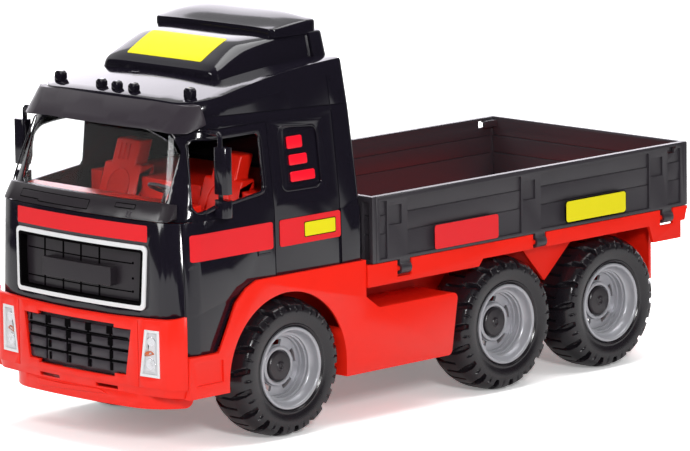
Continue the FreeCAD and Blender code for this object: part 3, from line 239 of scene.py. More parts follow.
def build_world():
    world = bpy.data.worlds.new("studio")
    bpy.context.scene.world = world
    world.use_nodes = True
    tree = world.node_tree
    ray = tree.nodes.new("ShaderNodeLightPath").outputs
    where = tree.nodes.new("ShaderNodeTexCoord").outputs["Generated"]
    mask = facing_backdrop(tree, where, WORLD_FROM, WORLD_TO)
    mirrored = blend(tree, mask, WORLD_DARK, WORLD_SEEN)
    unseen = blend(tree, ray["Is Glossy Ray"], WORLD_FILL, mirrored)
    strength = blend(tree, seen_ray(tree, ray), unseen, WORLD_SEEN)
    fill(tree.nodes["Background"], {"Color": (1, 1, 1, 1), "Strength": strength})


build_world()
bpy.context.scene.view_settings.view_transform = "Standard"
print("world strength", WORLD_DARK, "to", WORLD_SEEN)

# %% [markdown]
# ## Plastics
# Nearly everything is injection-moulded plastic. Moulded plastic is never one flat colour:
# it has a faint flow pattern, a very fine grain, and tiny scuffs that change its gloss. One
# node group makes those, and each plastic sets its own amounts.

# %% Moulding group
FLOW_SCALE, FLOW_DETAIL, FLOW_TWIST = 22, 3, 0.6
SCUFF_SCALE, SCUFF_DETAIL = 160, 5
GRAIN_SCALE, GRAIN_DETAIL = 1800, 2
COLOUR, NUMBER = "NodeSocketColor", "NodeSocketFloat"
GROUP_INPUTS = (("Colour", COLOUR), ("Variation", NUMBER), ("Roughness", NUMBER), ("Scuff", NUMBER),
                ("Grain", NUMBER))
GROUP_OUTPUTS = (("Colour", COLOUR), ("Roughness", NUMBER), ("Height", NUMBER))


def build_moulding_group():
    tree = bpy.data.node_groups.new("moulding", "ShaderNodeTree")
    for way, sockets in (("INPUT", GROUP_INPUTS), ("OUTPUT", GROUP_OUTPUTS)):
        for name, kind in sockets:
            tree.interface.new_socket(name, in_out=way, socket_type=kind)
    given = tree.nodes.new("NodeGroupInput").outputs
    where = tree.nodes.new("ShaderNodeTexCoord").outputs["Object"]
    flow = new_node(tree, "TexNoise", {"Vector": where, "Scale": FLOW_SCALE, "Detail": FLOW_DETAIL,
                                       "Distortion": FLOW_TWIST})
    centred = new_node(tree, "MapRange", {"Value": flow.outputs["Fac"], "To Min": -1})
    amount = math_node(tree, "MULTIPLY_ADD", centred.outputs["Result"], given["Variation"], 1)
    tint = new_node(tree, "VectorMath", {0: given["Colour"], "Scale": amount}, "SCALE")
    scuffs = new_node(tree, "TexNoise", {"Vector": where, "Scale": SCUFF_SCALE, "Detail": SCUFF_DETAIL})
    scuffed = math_node(tree, "MULTIPLY_ADD", scuffs.outputs["Fac"], given["Scuff"], given["Roughness"])
    grain = new_node(tree, "TexNoise", {"Vector": where, "Scale": GRAIN_SCALE, "Detail": GRAIN_DETAIL})
    height = math_node(tree, "MULTIPLY", grain.outputs["Fac"], given["Grain"])
    fill(tree.nodes.new("NodeGroupOutput"),
         {"Colour": tint.outputs[0], "Roughness": scuffed, "Height": height})
    return tree


moulding = build_moulding_group()
print("group", moulding.name, "has", len(moulding.nodes), "nodes")

# %% Plastics
BUMP_STRENGTH, BUMP_DEPTH = 0.35, 0.001


def moulded(tree, amounts):
    """The moulding group in a material's tree, with that material's amounts."""
    detail = tree.nodes.new("ShaderNodeGroup")
    detail.node_tree = moulding
    fill(detail, amounts)
    return detail.outputs


def plastic(name, colour, roughness, variation=0.06, scuff=0.08, grain=0.02, metallic=0.0, specular=0.5):
    """A moulded plastic: the group feeds colour, gloss and grain into one Principled shader."""
    material, tree, shader = bare_material(name)
    detail = moulded(tree, {"Colour": (*colour, 1), "Variation": variation, "Grain": grain,
                            "Roughness": roughness - scuff / 2, "Scuff": scuff})
    bump = new_node(tree, "Bump", {"Strength": BUMP_STRENGTH, "Distance": BUMP_DEPTH,
                                   "Height": detail["Height"]})
    fill(shader, {"Metallic": metallic, "Specular IOR Level": specular, "Base Color": detail["Colour"],
                  "Roughness": detail["Roughness"], "Normal": bump.outputs["Normal"]})
    return material


red = plastic("red_moulded", (0.84, 0.016, 0.006), 0.30, specular=0.3)
deck_red = plastic("deck_red", (0.84, 0.016, 0.006), 0.48, specular=0.12)
cab_black = plastic("cab_black", (0.0080, 0.0066, 0.0115), 0.10, grain=0.004, scuff=0.04)
trim_black = plastic("trim_black", (0.025, 0.019, 0.026), 0.36, grain=0.04)
cowl_black = plastic("cowl_black", (0.018, 0.014, 0.018), 0.30, grain=0.03)
board_black = plastic("board_black", (0.030, 0.026, 0.032), 0.40, grain=0.05)
rim_grey = plastic("rim_grey", (0.40, 0.40, 0.43), 0.33, metallic=0.35, scuff=0.04, grain=0.01)
trim_white = plastic("trim_white", (0.74, 0.74, 0.75), 0.30)
tyre_black = plastic("tyre_black", (0.011, 0.009, 0.012), 0.24, variation=0.12, scuff=0.10, grain=0.04)
bar_red = plastic("bar_red", (0.93, 0.005, 0.022), 0.30, specular=0.25)
steel = plastic("axle_steel", (0.55, 0.55, 0.56), 0.28, metallic=1.0)
label_red = plastic("label_red", (0.74, 0.010, 0.016), 0.40, variation=0.03, grain=0.006, specular=0.3)
label_yellow = plastic("label_yellow", (0.78, 0.69, 0.003), 0.5, variation=0.03, grain=0.006, specular=0.2)
lamp_pale = plastic("lamp_pale", (0.62, 0.62, 0.64), 0.22, variation=0.16)
lamp_silver = plastic("lamp_silver", (0.72, 0.72, 0.75), 0.16, metallic=0.8)
lamp_amber = plastic("lamp_amber", (0.62, 0.13, 0.03), 0.28)
# One near-black matte plastic is print on the lamps and label borders, and painted shade in the hollows of
# the cowl, the upper grille and the lower grille.
print_and_shade_black = plastic("print_and_shade_black", (0.002, 0.0016, 0.002), 0.7, variation=0.03, specular=0.02)
print("plastics made")

# %% [markdown]
# ## Riding on a body
# The record names a slot for each finish, so that a later scene can repaint the truck. Here each new piece
# only rides on the body that it moves with.


def settle(piece, body="truck"):
    """Let a new piece ride on its body."""
    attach(piece, body)
    return piece


# %% [markdown]
# ## Clear plastic
# The windscreen is one thin clear sheet. It bends light less than glass does, and the moulding
# group gives it a trace of colour and of wear.

# %% Clear plastic
CLEAR_TINT = (0.99, 0.995, 1.0, 1)
CLEAR_BENDING = 1.3
CLEAR_VARIATION, CLEAR_SCUFF = 0.01, 0.04


def build_clear():
    material, tree, shader = bare_material("clear_sheet")
    detail = moulded(tree, {"Colour": CLEAR_TINT, "Variation": CLEAR_VARIATION, "Roughness": 0.0,
                            "Scuff": CLEAR_SCUFF})
    fill(shader, {"Transmission Weight": 1, "IOR": CLEAR_BENDING, "Base Color": detail["Colour"],
                  "Roughness": detail["Roughness"]})
    return material


clear = build_clear()

# %% [markdown]
# ## Floor
# The sweep is white paper. The camera sees the truck's soft shadow on it close by, and plain white
# further out. Mirrored rays see it dark away from the backdrop, as they see the room.

# %% Floor finish
FLOOR_SEEN = 1.35
FLOOR_LIT = 0.80
FLOOR_MIRRORED = 0.85
FLOOR_DARK = 0.04
FLOOR_GLOW = 0.22
FLOOR_ROUGH = 0.5
BEHIND_FROM, BEHIND_TO = 0.25, 0.9
PAPER_GRAIN, PAPER_FIBRE = 3, 0.03
PAPER_MIDDLE = (0.0, 0.15, 0.0)
PAPER_END = 1.22
PAPER_FADE = 1.42
WHITE_FROM = 0.42
WHITE_TO = 0.80


def build_floor_finish():
    """White paper that shades near the truck and is plain white further out."""
    material, tree, shader = bare_material("sweep_white")
    ray = tree.nodes.new("ShaderNodeLightPath").outputs
    place = tree.nodes.new("ShaderNodeNewGeometry").outputs["Position"]
    paper = new_node(tree, "TexNoise", {"Scale": PAPER_GRAIN})
    fibre = math_node(tree, "MULTIPLY_ADD", paper.outputs["Fac"], PAPER_FIBRE, 1 - PAPER_FIBRE / 2)
    behind = facing_backdrop(tree, place, BEHIND_FROM, BEHIND_TO)
    off_paper = beyond(tree, place, PAPER_MIDDLE, PAPER_END, PAPER_FADE)
    dark = math_node(tree, "MULTIPLY", off_paper, math_node(tree, "SUBTRACT", 1.0, behind))
    mirrored = blend(tree, dark, FLOOR_MIRRORED, FLOOR_DARK)
    unseen = blend(tree, ray["Is Glossy Ray"], FLOOR_LIT, mirrored)
    tone = blend(tree, seen_ray(tree, ray), unseen, FLOOR_SEEN)
    tone = math_node(tree, "MULTIPLY", tone, fibre)
    mixed = new_node(tree, "CombineColor", dict.fromkeys(("Red", "Green", "Blue"), tone))
    far = beyond(tree, place, (0, 0, 0), WHITE_FROM, WHITE_TO)
    glow = blend(tree, far, FLOOR_GLOW, 1.0)
    plain = math_node(tree, "MULTIPLY", glow, ray["Is Camera Ray"])
    fill(shader, {"Roughness": FLOOR_ROUGH, "Specular IOR Level": 0.0, "Base Color": mixed.outputs["Color"],
                  "Emission Color": (1, 1, 1, 1), "Emission Strength": plain})
    return material


sweep.data.materials.append(build_floor_finish())

# %% [markdown]
# ## Mesh helpers
# Turned rings, lofted skins, tubes and bands are all rings of points with quads between them, so
# one function makes their faces. Another rounds their edges with a bevel that follows the angle.

# %% Mesh helpers


def band_faces(rings, count, closed=True, holes=()):
    """The quads that join rings of points, apart from the holes. Each ring has the same count."""
    faces = []
    for i in range(rings if closed else rings - 1):
        here, after = i * count, (i + 1) % rings * count
        for k in range(count):
            if (i, k) not in holes:
                faces.append((here + k, here + (k + 1) % count, after + (k + 1) % count, after + k))
    return faces


def new_mesh(name, verts, faces, material):
    mesh = bpy.data.meshes.new(name)
    mesh.from_pydata(verts, [], faces)
    mesh.materials.append(material)
    return mesh


def closed_mesh(name, verts, faces, material):
    """A mesh whose faces all look outwards."""
    mesh = new_mesh(name, verts, faces, material)
    shape = bmesh.new()
    shape.from_mesh(mesh)
    bmesh.ops.recalc_face_normals(shape, faces=shape.faces[:])
    shape.to_mesh(mesh)
    shape.free()
    return mesh


def round_edges(piece, width, turn, segments=2):
    """Round every edge of a piece that turns more than an angle, and shade the piece smooth."""
    bevel = piece.modifiers.new("rounded", "BEVEL")
    bevel.width = width * MM
    bevel.segments = segments
    bevel.limit_method = "ANGLE"
    bevel.angle_limit = turn
    bevel.harden_normals = True
    piece.data.shade_smooth()


# %% [markdown]
# ## Rounded moulded edges
# Every edge of a moulded part has a small radius, and that radius is what catches the light.
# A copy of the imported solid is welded, its flat areas are merged and every sharp edge gets a
# narrow bevel. The copy then stands for the solid.

# %% Softening helper
SHARP_TURN = math.radians(28)
FLAT_TURN = math.radians(0.05)
WELD = 0.00002


def softened(node, material, radius, body):
    """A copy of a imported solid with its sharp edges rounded, riding on the same body."""
    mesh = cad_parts[node].data.copy()
    shape = bmesh.new()
    shape.from_mesh(mesh)
    bmesh.ops.remove_doubles(shape, verts=shape.verts, dist=WELD)
    bmesh.ops.dissolve_limit(shape, angle_limit=FLAT_TURN, verts=shape.verts, edges=shape.edges,
                             delimit=set())
    shape.to_mesh(mesh)
    shape.free()
    mesh.materials.clear()
    mesh.materials.append(material)
    piece = linked(node + "_moulded", mesh)
    round_edges(piece, radius, SHARP_TURN)
    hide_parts(node)
    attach(piece, body)


# %% Rounded pieces
BOARD_ROUND = 0.4
HUB_ROUND = 0.5
SINGLE_PIECES = (
    ("chassis", red, 0.6), ("bed_deck", deck_red, 0.6), ("bumper", red, 0.6), ("interior", red, 0.8),
    ("cab_shell", cab_black, 0.6), ("cowl", cowl_black, 0.5), ("visor", trim_black, 0.6),
    ("grille_frame", trim_white, 0.5), ("bumper_grille", trim_black, 0.4),
    ("board_front", board_black, BOARD_ROUND), ("steering_wheel", trim_black, 0.3),
    ("roof_lamps", cab_black, 0.7),
)
PAIRED_PIECES = (
    ("skirt", red, 0.9), ("seat", red, 2.0), ("mirror", cab_black, 1.8), ("sleeper_bars", bar_red, 0.5),
    ("headlamp_bezel", trim_white, 0.3), ("headlamp_lens", lamp_pale, 0.3),
)
BOARD_BODIES = {"board_left": "drop_side_left", "board_right": "drop_side_right", "board_tail": "tailboard"}
for node, material, radius in SINGLE_PIECES:
    softened(node, material, radius, "truck")
for kind, material, radius in PAIRED_PIECES:
    for hand in HANDS:
        softened("%s_%s" % (kind, hand), material, radius, "truck")
for node, body in BOARD_BODIES.items():
    softened(node, board_black, BOARD_ROUND, body)
for place in PLACES:
    for hand in HANDS:
        wheel = "%s_%s" % (place, hand)
        softened("hub_cap_" + wheel, cowl_black, HUB_ROUND, "wheel_" + wheel)
print("solids rounded")

# %% [markdown]
# ## Solids that stay
# The clear sheet and the steel axles have the right shape already, so they only get a material.

# %% Nodes that keep their solid


def coat_node(node, material):
    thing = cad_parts[node]
    thing.data.materials.clear()
    thing.data.materials.append(material)


coat_node("windscreen", clear)
for place in PLACES:
    coat_node("axle_" + place, steel)

# %% [markdown]
# ## Wheels
# Each tyre is a blow-moulded ring: a glossy bulged sidewall, and grooves that start wide at a
# shoulder and bend into a narrow line over the tread. Each rim is one turned shape with stair
# ridges. A modeller could cut the grooves with booleans. Here each is one revolved grid whose
# points are pushed in by a small rule, which keeps the shading clean.

# %% Wheel grids
TYRE_FACE = 116.0
TYRE_WIDTH = 45.0
TYRE_STEPS = 576
TYRE_SIDE = ((3.4, 33.6), (3.0, 34.6), (2.2, 35.6), (1.5, 36.1), (1.2, 36.6), (1.6, 37.2), (1.5, 38.2),
             (1.0, 39.8), (0.5, 41.8), (0.2, 44.0), (0.0, 46.0), (0.1, 47.4), (0.2, 48.2), (0.3, 48.9),
             (0.4, 49.6), (0.6, 50.3), (0.8, 51.0), (1.2, 51.8), (1.8, 52.6), (2.6, 53.3), (3.8, 54.1),
             (5.2, 54.8), (7.0, 55.6), (9.0, 56.3), (11.0, 56.9), (13.0, 57.3), (14.5, 57.45), (16.0, 57.5),
             (17.5, 57.5), (19.0, 57.5), (20.75, 57.5))
LUG_TURN = 20.0
GROOVE_REACH = 29.0
GROOVE_NARROWS = (6.0, 18.0)
GROOVE_EASE = 0.5
GROOVE_SHOULDER = 53.3
GROOVE_WIDE, GROOVE_NARROW = 5.2, 1.7
GROOVE_DEEP, GROOVE_SHALLOW = 5.2, 2.4
GROOVE_LEAN = 6.0
GROOVE_BEND = 17.0
DIMPLE_RADIUS, DIMPLE_HALF, DIMPLE_WIDE, DIMPLE_DEEP = 50.2, 2.9, 1.4, 2.0
DIMPLE_REACH = 2.5
RIM_FACE = 113.3
RIM_STEPS = 180
RIM_LINE = ((-5.0, 33.5), (0.2, 34.2), (1.0, 33.9), (1.3, 33.3), (1.3, 32.2), (0.9, 31.5), (0.0, 31.1),
            (-2.0, 30.8), (-4.2, 30.0), (-6.0, 29.0), (-6.9, 28.2), (-7.1, 27.3), (-9.4, 27.2), (-9.6, 26.0),
            (-14.0, 25.9), (-14.2, 24.8), (-17.0, 24.7), (-17.0, 21.8), (-17.0, 17.4), (-17.0, 16.8),
            (-14.0, 16.6), (-13.5, 16.0), (-13.5, 14.2), (-14.0, 13.5), (-17.0, 13.3), (-17.0, 3.05),
            (-39.0, 3.05), (-39.0, 7.5), (-19.6, 7.5), (-19.6, 17.4), (-19.6, 21.8), (-19.6, 27.7),
            (-39.0, 31.1), (-39.0, 33.5))
HOLE_COUNT, HOLE_SPREAD = 5, 32.0
TURNED_SHARP = math.radians(42)
AXLE_PLACES = dict(zip(PLACES, (0.0, 255.5, 386.5)))
WHEEL_HEIGHT = 57.5


def eased(value, low, high):
    """0 below low, 1 above high and a smooth step between them."""
    share = min(1.0, max(0.0, (value - low) / (high - low)))
    return share * share * (3 - 2 * share)


def groove_depth(edge, angle, first):
    """How far one shoulder's grooves push the tread in, edge millimetres from that shoulder."""
    if edge > GROOVE_REACH:
        return 0.0
    narrowed = eased(edge, *GROOVE_NARROWS)
    half = (GROOVE_WIDE + (GROOVE_NARROW - GROOVE_WIDE) * narrowed) / 2
    depth = GROOVE_DEEP + (GROOVE_SHALLOW - GROOVE_DEEP) * narrowed
    lean = GROOVE_LEAN * max(0.0, 1 - edge / GROOVE_BEND)
    away = abs((angle - first + lean + LUG_TURN / 2) % LUG_TURN - LUG_TURN / 2)
    return depth * (1 - eased(away, half - GROOVE_EASE, half + GROOVE_EASE))


def tyre_point(edge, radius, angle):
    """One point of the tyre with its grooves and its shoulder dimples."""
    near = min(edge, TYRE_WIDTH - edge)
    outer = groove_depth(edge, angle, LUG_TURN / 2)
    inner = groove_depth(TYRE_WIDTH - edge, angle, 0.0)
    surface = max(radius, GROOVE_SHOULDER)
    radius_in = min(radius, surface - max(outer, inner))
    first = LUG_TURN / 2 if edge < TYRE_WIDTH / 2 else 0.0
    away = (angle - first + GROOVE_LEAN) % LUG_TURN - LUG_TURN / 2
    pushed = 0.0
    if near < DIMPLE_REACH:
        inside = 1 - (away / DIMPLE_WIDE) ** 2 - ((radius - DIMPLE_RADIUS) / DIMPLE_HALF) ** 2
        pushed = DIMPLE_DEEP * math.sqrt(max(0.0, inside))
    edge += pushed if edge < TYRE_WIDTH / 2 else -pushed
    return TYRE_FACE - edge, radius_in


def revolved(name, rows, material, holes=(), walls=()):
    """A closed ring about the X axis from one row of (x, radius) for each step of the turn."""
    steps, count = len(rows), len(rows[0])
    verts = []
    for j, row in enumerate(rows):
        turn = 2 * math.pi * j / steps
        verts += [Vector((x, r * math.sin(turn), -r * math.cos(turn))) * MM for x, r in row]
    faces = band_faces(steps, count, holes=holes) + list(walls)
    mesh = closed_mesh(name, verts, faces, material)
    mesh.shade_smooth()
    mesh.set_sharp_from_angle(angle=TURNED_SHARP)
    return mesh


def tyre_mesh():
    mirrored = [(TYRE_WIDTH - e, r) for e, r in reversed(TYRE_SIDE)]
    line = list(TYRE_SIDE) + [(TYRE_WIDTH / 2, WHEEL_HEIGHT)] + mirrored
    turns = [360.0 * j / TYRE_STEPS for j in range(TYRE_STEPS)]
    return revolved("tyre", [[tyre_point(e, r, turn) for e, r in line] for turn in turns], tyre_black)


def rim_mesh():
    """The turned rim with kidney-shaped holes through its disc."""
    line = [(RIM_FACE + x, r) for x, r in RIM_LINE]
    count = len(line)
    front = RIM_LINE.index((-17.0, 21.8))
    back = RIM_LINE.index((-19.6, 17.4))
    wide = round(HOLE_SPREAD / 360 * RIM_STEPS)
    holes, walls = set(), []
    for i in range(HOLE_COUNT):
        first = round(RIM_STEPS * (0.5 + i / HOLE_COUNT)) - wide // 2
        for j in range(first, first + wide):
            here, after = (j % RIM_STEPS) * count, ((j + 1) % RIM_STEPS) * count
            holes |= {(j % RIM_STEPS, front), (j % RIM_STEPS, back)}
            walls.append((here + front, after + front, after + back + 1, here + back + 1))
            walls.append((here + front + 1, after + front + 1, after + back, here + back))
        for j in (first, first + wide):
            here = (j % RIM_STEPS) * count
            walls.append((here + front, here + front + 1, here + back, here + back + 1))
    return revolved("rim", [line] * RIM_STEPS, rim_grey, holes, walls)


def wheel_piece(kind, mesh, place, hand):
    """A copy of a wheel's mesh, moved to its axle's end, mirrored on the right side."""
    node = "%s_%s_%s" % (kind, place, hand)
    copy = mesh.copy()
    if hand == "right":
        copy.transform(Matrix.Diagonal((-1, 1, 1, 1)))
        copy.flip_normals()
    copy.transform(Matrix.Translation(at(0, AXLE_PLACES[place], WHEEL_HEIGHT)))
    piece = linked(node + "_moulded", copy)
    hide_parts(node)
    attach(piece, "wheel_%s_%s" % (place, hand))


for kind, mesh in (("tyre", tyre_mesh()), ("rim", rim_mesh())):
    for place in PLACES:
        for hand in HANDS:
            wheel_piece(kind, mesh, place, hand)
print("wheels turned")

# %% [markdown]
# ## Laid on the surface
# Labels, beads and small relief all lie on a moulded skin. Each is drawn flat, in the view that
# faces the skin, and every point of it is then dropped along that view until it meets the solid.

# %% Draping helpers
WAYS = {"left": (1, 0, 0), "right": (-1, 0, 0), "front": (0, -1, 0), "top": (0, 0, 1)}
DROP_FROM, NEAR_FROM = 0.6, 0.12
HULL = "hull:"
CAB_SKIN = HULL + "cab_shell"
PLATE_SHARP = math.radians(50)
BEAD_STEP, BAND_STEP = 3.0, 6.0
TUBE_SIDES = 8
SMALL_STEPS = 3
trees = {}


def tree_of(node):
    """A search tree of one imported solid, or of the hull that closes its openings, made once."""
    if node not in trees:
        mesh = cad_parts[node.removeprefix(HULL)].data
        if node.startswith(HULL):
            shape = bmesh.new()
            for vert in mesh.vertices:
                shape.verts.new(vert.co)
            bmesh.ops.convex_hull(shape, input=shape.verts[:])
            trees[node] = BVHTree.FromBMesh(shape)
            shape.free()
        else:
            trees[node] = BVHTree.FromPolygons([v.co.copy() for v in mesh.vertices],
                                               [tuple(p.vertices) for p in mesh.polygons])
    return trees[node]


def flat_point(way, u, v):
    """A point of a flat drawing in millimetres, far out in front of the skin that it faces."""
    if way in HANDS:
        start = at(0, u, v)
    elif way == "front":
        start = at(u, 0, v)
    else:
        start = at(u, v, 0)
    out = Vector(WAYS[way])
    start -= out * start.dot(out)
    return start + out * DROP_FROM


def dropped(node, way, u, v, lift):
    """The point of the solid that lies under (u, v), raised by lift millimetres."""
    out = Vector(WAYS[way])
    start = flat_point(way, u, v)
    hit, normal = tree_of(node).ray_cast(start, -out)[:2]
    if hit is None:
        hit, normal = tree_of(node).find_nearest(start - out * (DROP_FROM - NEAR_FROM))[:2]
    if normal.dot(out) < 0:
        normal = -normal
    return hit + normal * (lift * MM)


def rounded_corners(points, radius, steps=5):
    """An outline whose corners are rounded with one radius."""
    result = []
    for i, corner in enumerate(points):
        here = Vector(corner)
        before = (Vector(points[i - 1]) - here).normalized()
        after = (Vector(points[(i + 1) % len(points)]) - here).normalized()
        half = before.angle(after) / 2
        middle = here + (before + after).normalized() * (radius / math.sin(half))
        start = here + before * (radius / math.tan(half)) - middle
        turn = start.angle_signed(here + after * (radius / math.tan(half)) - middle)
        for k in range(steps + 1):
            angle = -turn * k / steps
            c, s = math.cos(angle), math.sin(angle)
            result.append(middle + Vector((start.x * c - start.y * s, start.x * s + start.y * c)))
    return result


def draped(name, outline, node, way, lift, material, sink=0.3, cell=5.0, edge=0.0):
    """A thin plate with a flat outline, laid over the solid."""
    shape = bmesh.new()
    shape.faces.new([shape.verts.new((p[0], p[1], 0)) for p in outline])
    for axis in (0, 1):
        low = min(p[axis] for p in outline)
        high = max(p[axis] for p in outline)
        count = max(1, int((high - low) / cell))
        for i in range(1, count):
            spot = [0.0, 0.0, 0.0]
            spot[axis] = low + (high - low) * i / count
            normal = [0.0, 0.0, 0.0]
            normal[axis] = 1.0
            bmesh.ops.bisect_plane(shape, geom=shape.verts[:] + shape.edges[:] + shape.faces[:],
                                   plane_co=spot, plane_no=normal)
    grown = bmesh.ops.extrude_face_region(shape, geom=shape.faces[:])
    tops = {item for item in grown["geom"] if isinstance(item, bmesh.types.BMVert)}
    for vert in shape.verts:
        vert.co = dropped(node, way, vert.co.x, vert.co.y, lift if vert in tops else -sink)
    bmesh.ops.recalc_face_normals(shape, faces=shape.faces[:])
    mesh = bpy.data.meshes.new(name)
    shape.to_mesh(mesh)
    shape.free()
    mesh.materials.append(material)
    piece = linked(name, mesh)
    if edge:
        round_edges(piece, edge, PLATE_SHARP)
    return settle(piece)


def rectangle(u0, u1, v0, v1, radius=0.0, steps=5):
    points = [(u0, v0), (u1, v0), (u1, v1), (u0, v1)]
    return rounded_corners(points, radius, steps) if radius else points


def tube(name, points, radius, material, closed=False):
    """A round bead along some points of the scene."""
    count, sides = len(points), TUBE_SIDES
    verts = []
    side = None
    for i, point in enumerate(points):
        before = points[i - 1] if closed or i else point
        after = points[(i + 1) % count] if closed or i < count - 1 else point
        run = (after - before).normalized()
        if side is None:
            side = run.orthogonal().normalized()
        side = (side - run * side.dot(run)).normalized()
        other = run.cross(side)
        for k in range(sides):
            angle = 2 * math.pi * k / sides
            verts.append(point + (side * math.cos(angle) + other * math.sin(angle)) * (radius * MM))
    faces = band_faces(count, sides, closed)
    if not closed:
        faces.append(tuple(reversed(range(sides))))
        faces.append(tuple(range((count - 1) * sides, count * sides)))
    mesh = new_mesh(name, verts, faces, material)
    for polygon in mesh.polygons:
        polygon.use_smooth = len(polygon.vertices) == 4
    return settle(linked(name, mesh))


def stepped_pair(outer, inner, step):
    """Two matching closed outlines with extra points on their long runs."""
    longer, shorter = [], []
    for i, corner in enumerate(outer):
        after = (i + 1) % len(outer)
        a, b, c, d = (Vector(p) for p in (corner, outer[after], inner[i], inner[after]))
        parts = max(1, int((b - a).length / step))
        longer += [a.lerp(b, k / parts) for k in range(parts)]
        shorter += [c.lerp(d, k / parts) for k in range(parts)]
    return longer, shorter


# %% [markdown]
# ## Roof skins
# The fairing and the spoiler are one crowned section drawn through a few places along the roof.
# A smooth curve joins the places, so the skin has no kinks where the drawing changes. Each skin
# has its own foot, half width, side height and crown at those places.

# %% Roof skins
CROWN_STEPS = 22
PLACE_STEP = 2.6
SPOILER_LOW = 323.2
SPOILER_HALVES = (71.0, 73.5, 75.0, 75.0)
FAIRING = dict(
    places=(-36.0, -29.0, -20.0, -8.0, 1.0, 26.6, 66.0),
    bases=(70.0, 71.0, 72.0, 74.0, 75.5, 78.0, 80.5),
    halves=(67.5, 67.0, 66.6, 66.6, 67.2, 70.6, 73.4),
    sides=(300.3, 304.0, 308.2, 313.2, 316.2, 321.8, 324.6),
    crowns=(301.6, 307.6, 313.0, 319.3, 322.8, 325.6, 329.0),
    front=7.0, rear=0.0, power=8.0, ease=3.0, edge=1.6,
)
BLOCK = dict(
    places=(63.0, 80.0), bases=(84.5, 84.5), halves=(76.0, 76.0), sides=(325.0, 325.0),
    crowns=(328.5, 328.5), front=0.0, rear=6.0, power=3.0, ease=2.5, edge=0.5,
)
SPOILER = dict(
    places=(26.6, 42.0, 60.0, 73.5), bases=SPOILER_HALVES, halves=SPOILER_HALVES,
    sides=(330.0, 332.0, 333.8, 334.4), crowns=(330.8, 338.4, 341.4, 337.6),
    front=5.0, rear=5.0, power=4.0, ease=2.2, edge=1.5,
)
SHOULDER_STEPS, CORNER_STEPS = 6, 6


def flowing(places, values, place):
    """A value read from the smooth curve through a few places."""
    last = len(places) - 1
    k = min(last - 1, sum(1 for p in places[1:-1] if p <= place))
    slopes = []
    for i in (k, k + 1):
        before, after = max(i - 1, 0), min(i + 1, last)
        slopes.append((values[after] - values[before]) / (places[after] - places[before]))
    span = places[k + 1] - places[k]
    t = (place - places[k]) / span
    return ((2 * t ** 3 - 3 * t ** 2 + 1) * values[k] + (t ** 3 - 2 * t ** 2 + t) * span * slopes[0]
            + (3 * t ** 2 - 2 * t ** 3) * values[k + 1] + (t ** 3 - t ** 2) * span * slopes[1])


def crowned_section(base, half, low, side, crown, power, ease):
    """A section with leaning sides, eased shoulders and a crowned top, from right to left."""
    top = []
    for k in range(-CROWN_STEPS, CROWN_STEPS + 1):
        x = (half - ease) * k / CROWN_STEPS
        top.append(Vector((x, side + (crown - side) * (1 - abs(x / half) ** power))))
    arc = []
    foot, shoulder = Vector((-base, low)), Vector((-half, side))
    start = shoulder + (foot - shoulder).normalized() * ease
    for k in range(SHOULDER_STEPS):
        t = k / SHOULDER_STEPS
        arc.append(start.lerp(shoulder, t).lerp(shoulder.lerp(top[0], t), t))
    mirrored = [Vector((-p.x, p.y)) for p in reversed([foot] + arc)]
    return [foot] + arc + top + mirrored


def lofted(name, node, rows, edge):
    """A closed skin through some (y, section) rows, with its two rims rounded."""
    count = len(rows[0][1])
    verts = [at(p.x, y, p.y) for y, section in rows for p in section]
    faces = band_faces(len(rows), count, closed=False)
    faces.append(tuple(range(count)))
    faces.append(tuple(range((len(rows) - 1) * count, len(rows) * count)))
    if node not in trees:
        trees[node] = BVHTree.FromPolygons(verts, faces)
    piece = linked(name, closed_mesh(name, verts, faces, cab_black))
    round_edges(piece, edge, PLATE_SHARP, segments=3)
    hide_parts(node)
    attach(piece, "truck")


def spread(start, end, front, rear):
    """Places along Y, closer together where the front or rear corner is rounded in plan."""
    straight = end - start - front - rear
    inner = int(straight / PLACE_STEP)
    quarter = math.pi / 2 / CORNER_STEPS
    places = []
    if front:
        places += [start + front * (1 - math.cos(k * quarter)) for k in range(CORNER_STEPS)]
    places += [start + front + straight * k / inner for k in range(inner + 1)]
    if rear:
        places += [end - rear * (1 - math.sin(k * quarter)) for k in range(1, CORNER_STEPS + 1)]
    return places


def plan_drop(away, corner):
    """How far a corner that is rounded in plan pulls the side in, away millimetres from its end."""
    if away >= corner:
        return 0.0
    return corner * (1 - math.sqrt(max(0.0, 1 - (1 - away / corner) ** 2)))


def roof_skin(name, node, low, places, bases, halves, sides, crowns, front, rear, power, ease, edge):
    """A crowned skin over the roof, with its front and rear corners rounded in plan."""
    start, end = places[0], places[-1]
    rows = []
    for y in spread(start, end, front, rear):
        drop = max(plan_drop(y - start, front), plan_drop(end - y, rear))
        base, half, side, crown = (flowing(places, values, y) for values in (bases, halves, sides, crowns))
        rows.append((y, crowned_section(base - drop, half - drop, low, side, crown, power, ease)))
    lofted(name, node, rows, edge)


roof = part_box("roof_fairing")[0][2] / MM
roof_skin("fairing_skin", "roof_fairing", roof, **FAIRING)
roof_skin("fairing_block", "roof_fairing", roof, **BLOCK)
roof_skin("spoiler_skin", "roof_spoiler", SPOILER_LOW, **SPOILER)
print("roof skins lofted")

# %% [markdown]
# ## Labels
# The stickers are plain coloured plates, because their printed words are left off. The cab's
# labels are draped over its skin, and the board's labels lie on its outermost flat face. A dark
# plate that is a little larger makes each dark border.

# %% Labels
PLATE_THICK = 0.6
FAIRING_LABEL = (-44.5, 44.5, -29.5, 1.0, 1.8)
FAIRING_LABEL_LIFT, FAIRING_LABEL_CELL = 0.25, 2.0
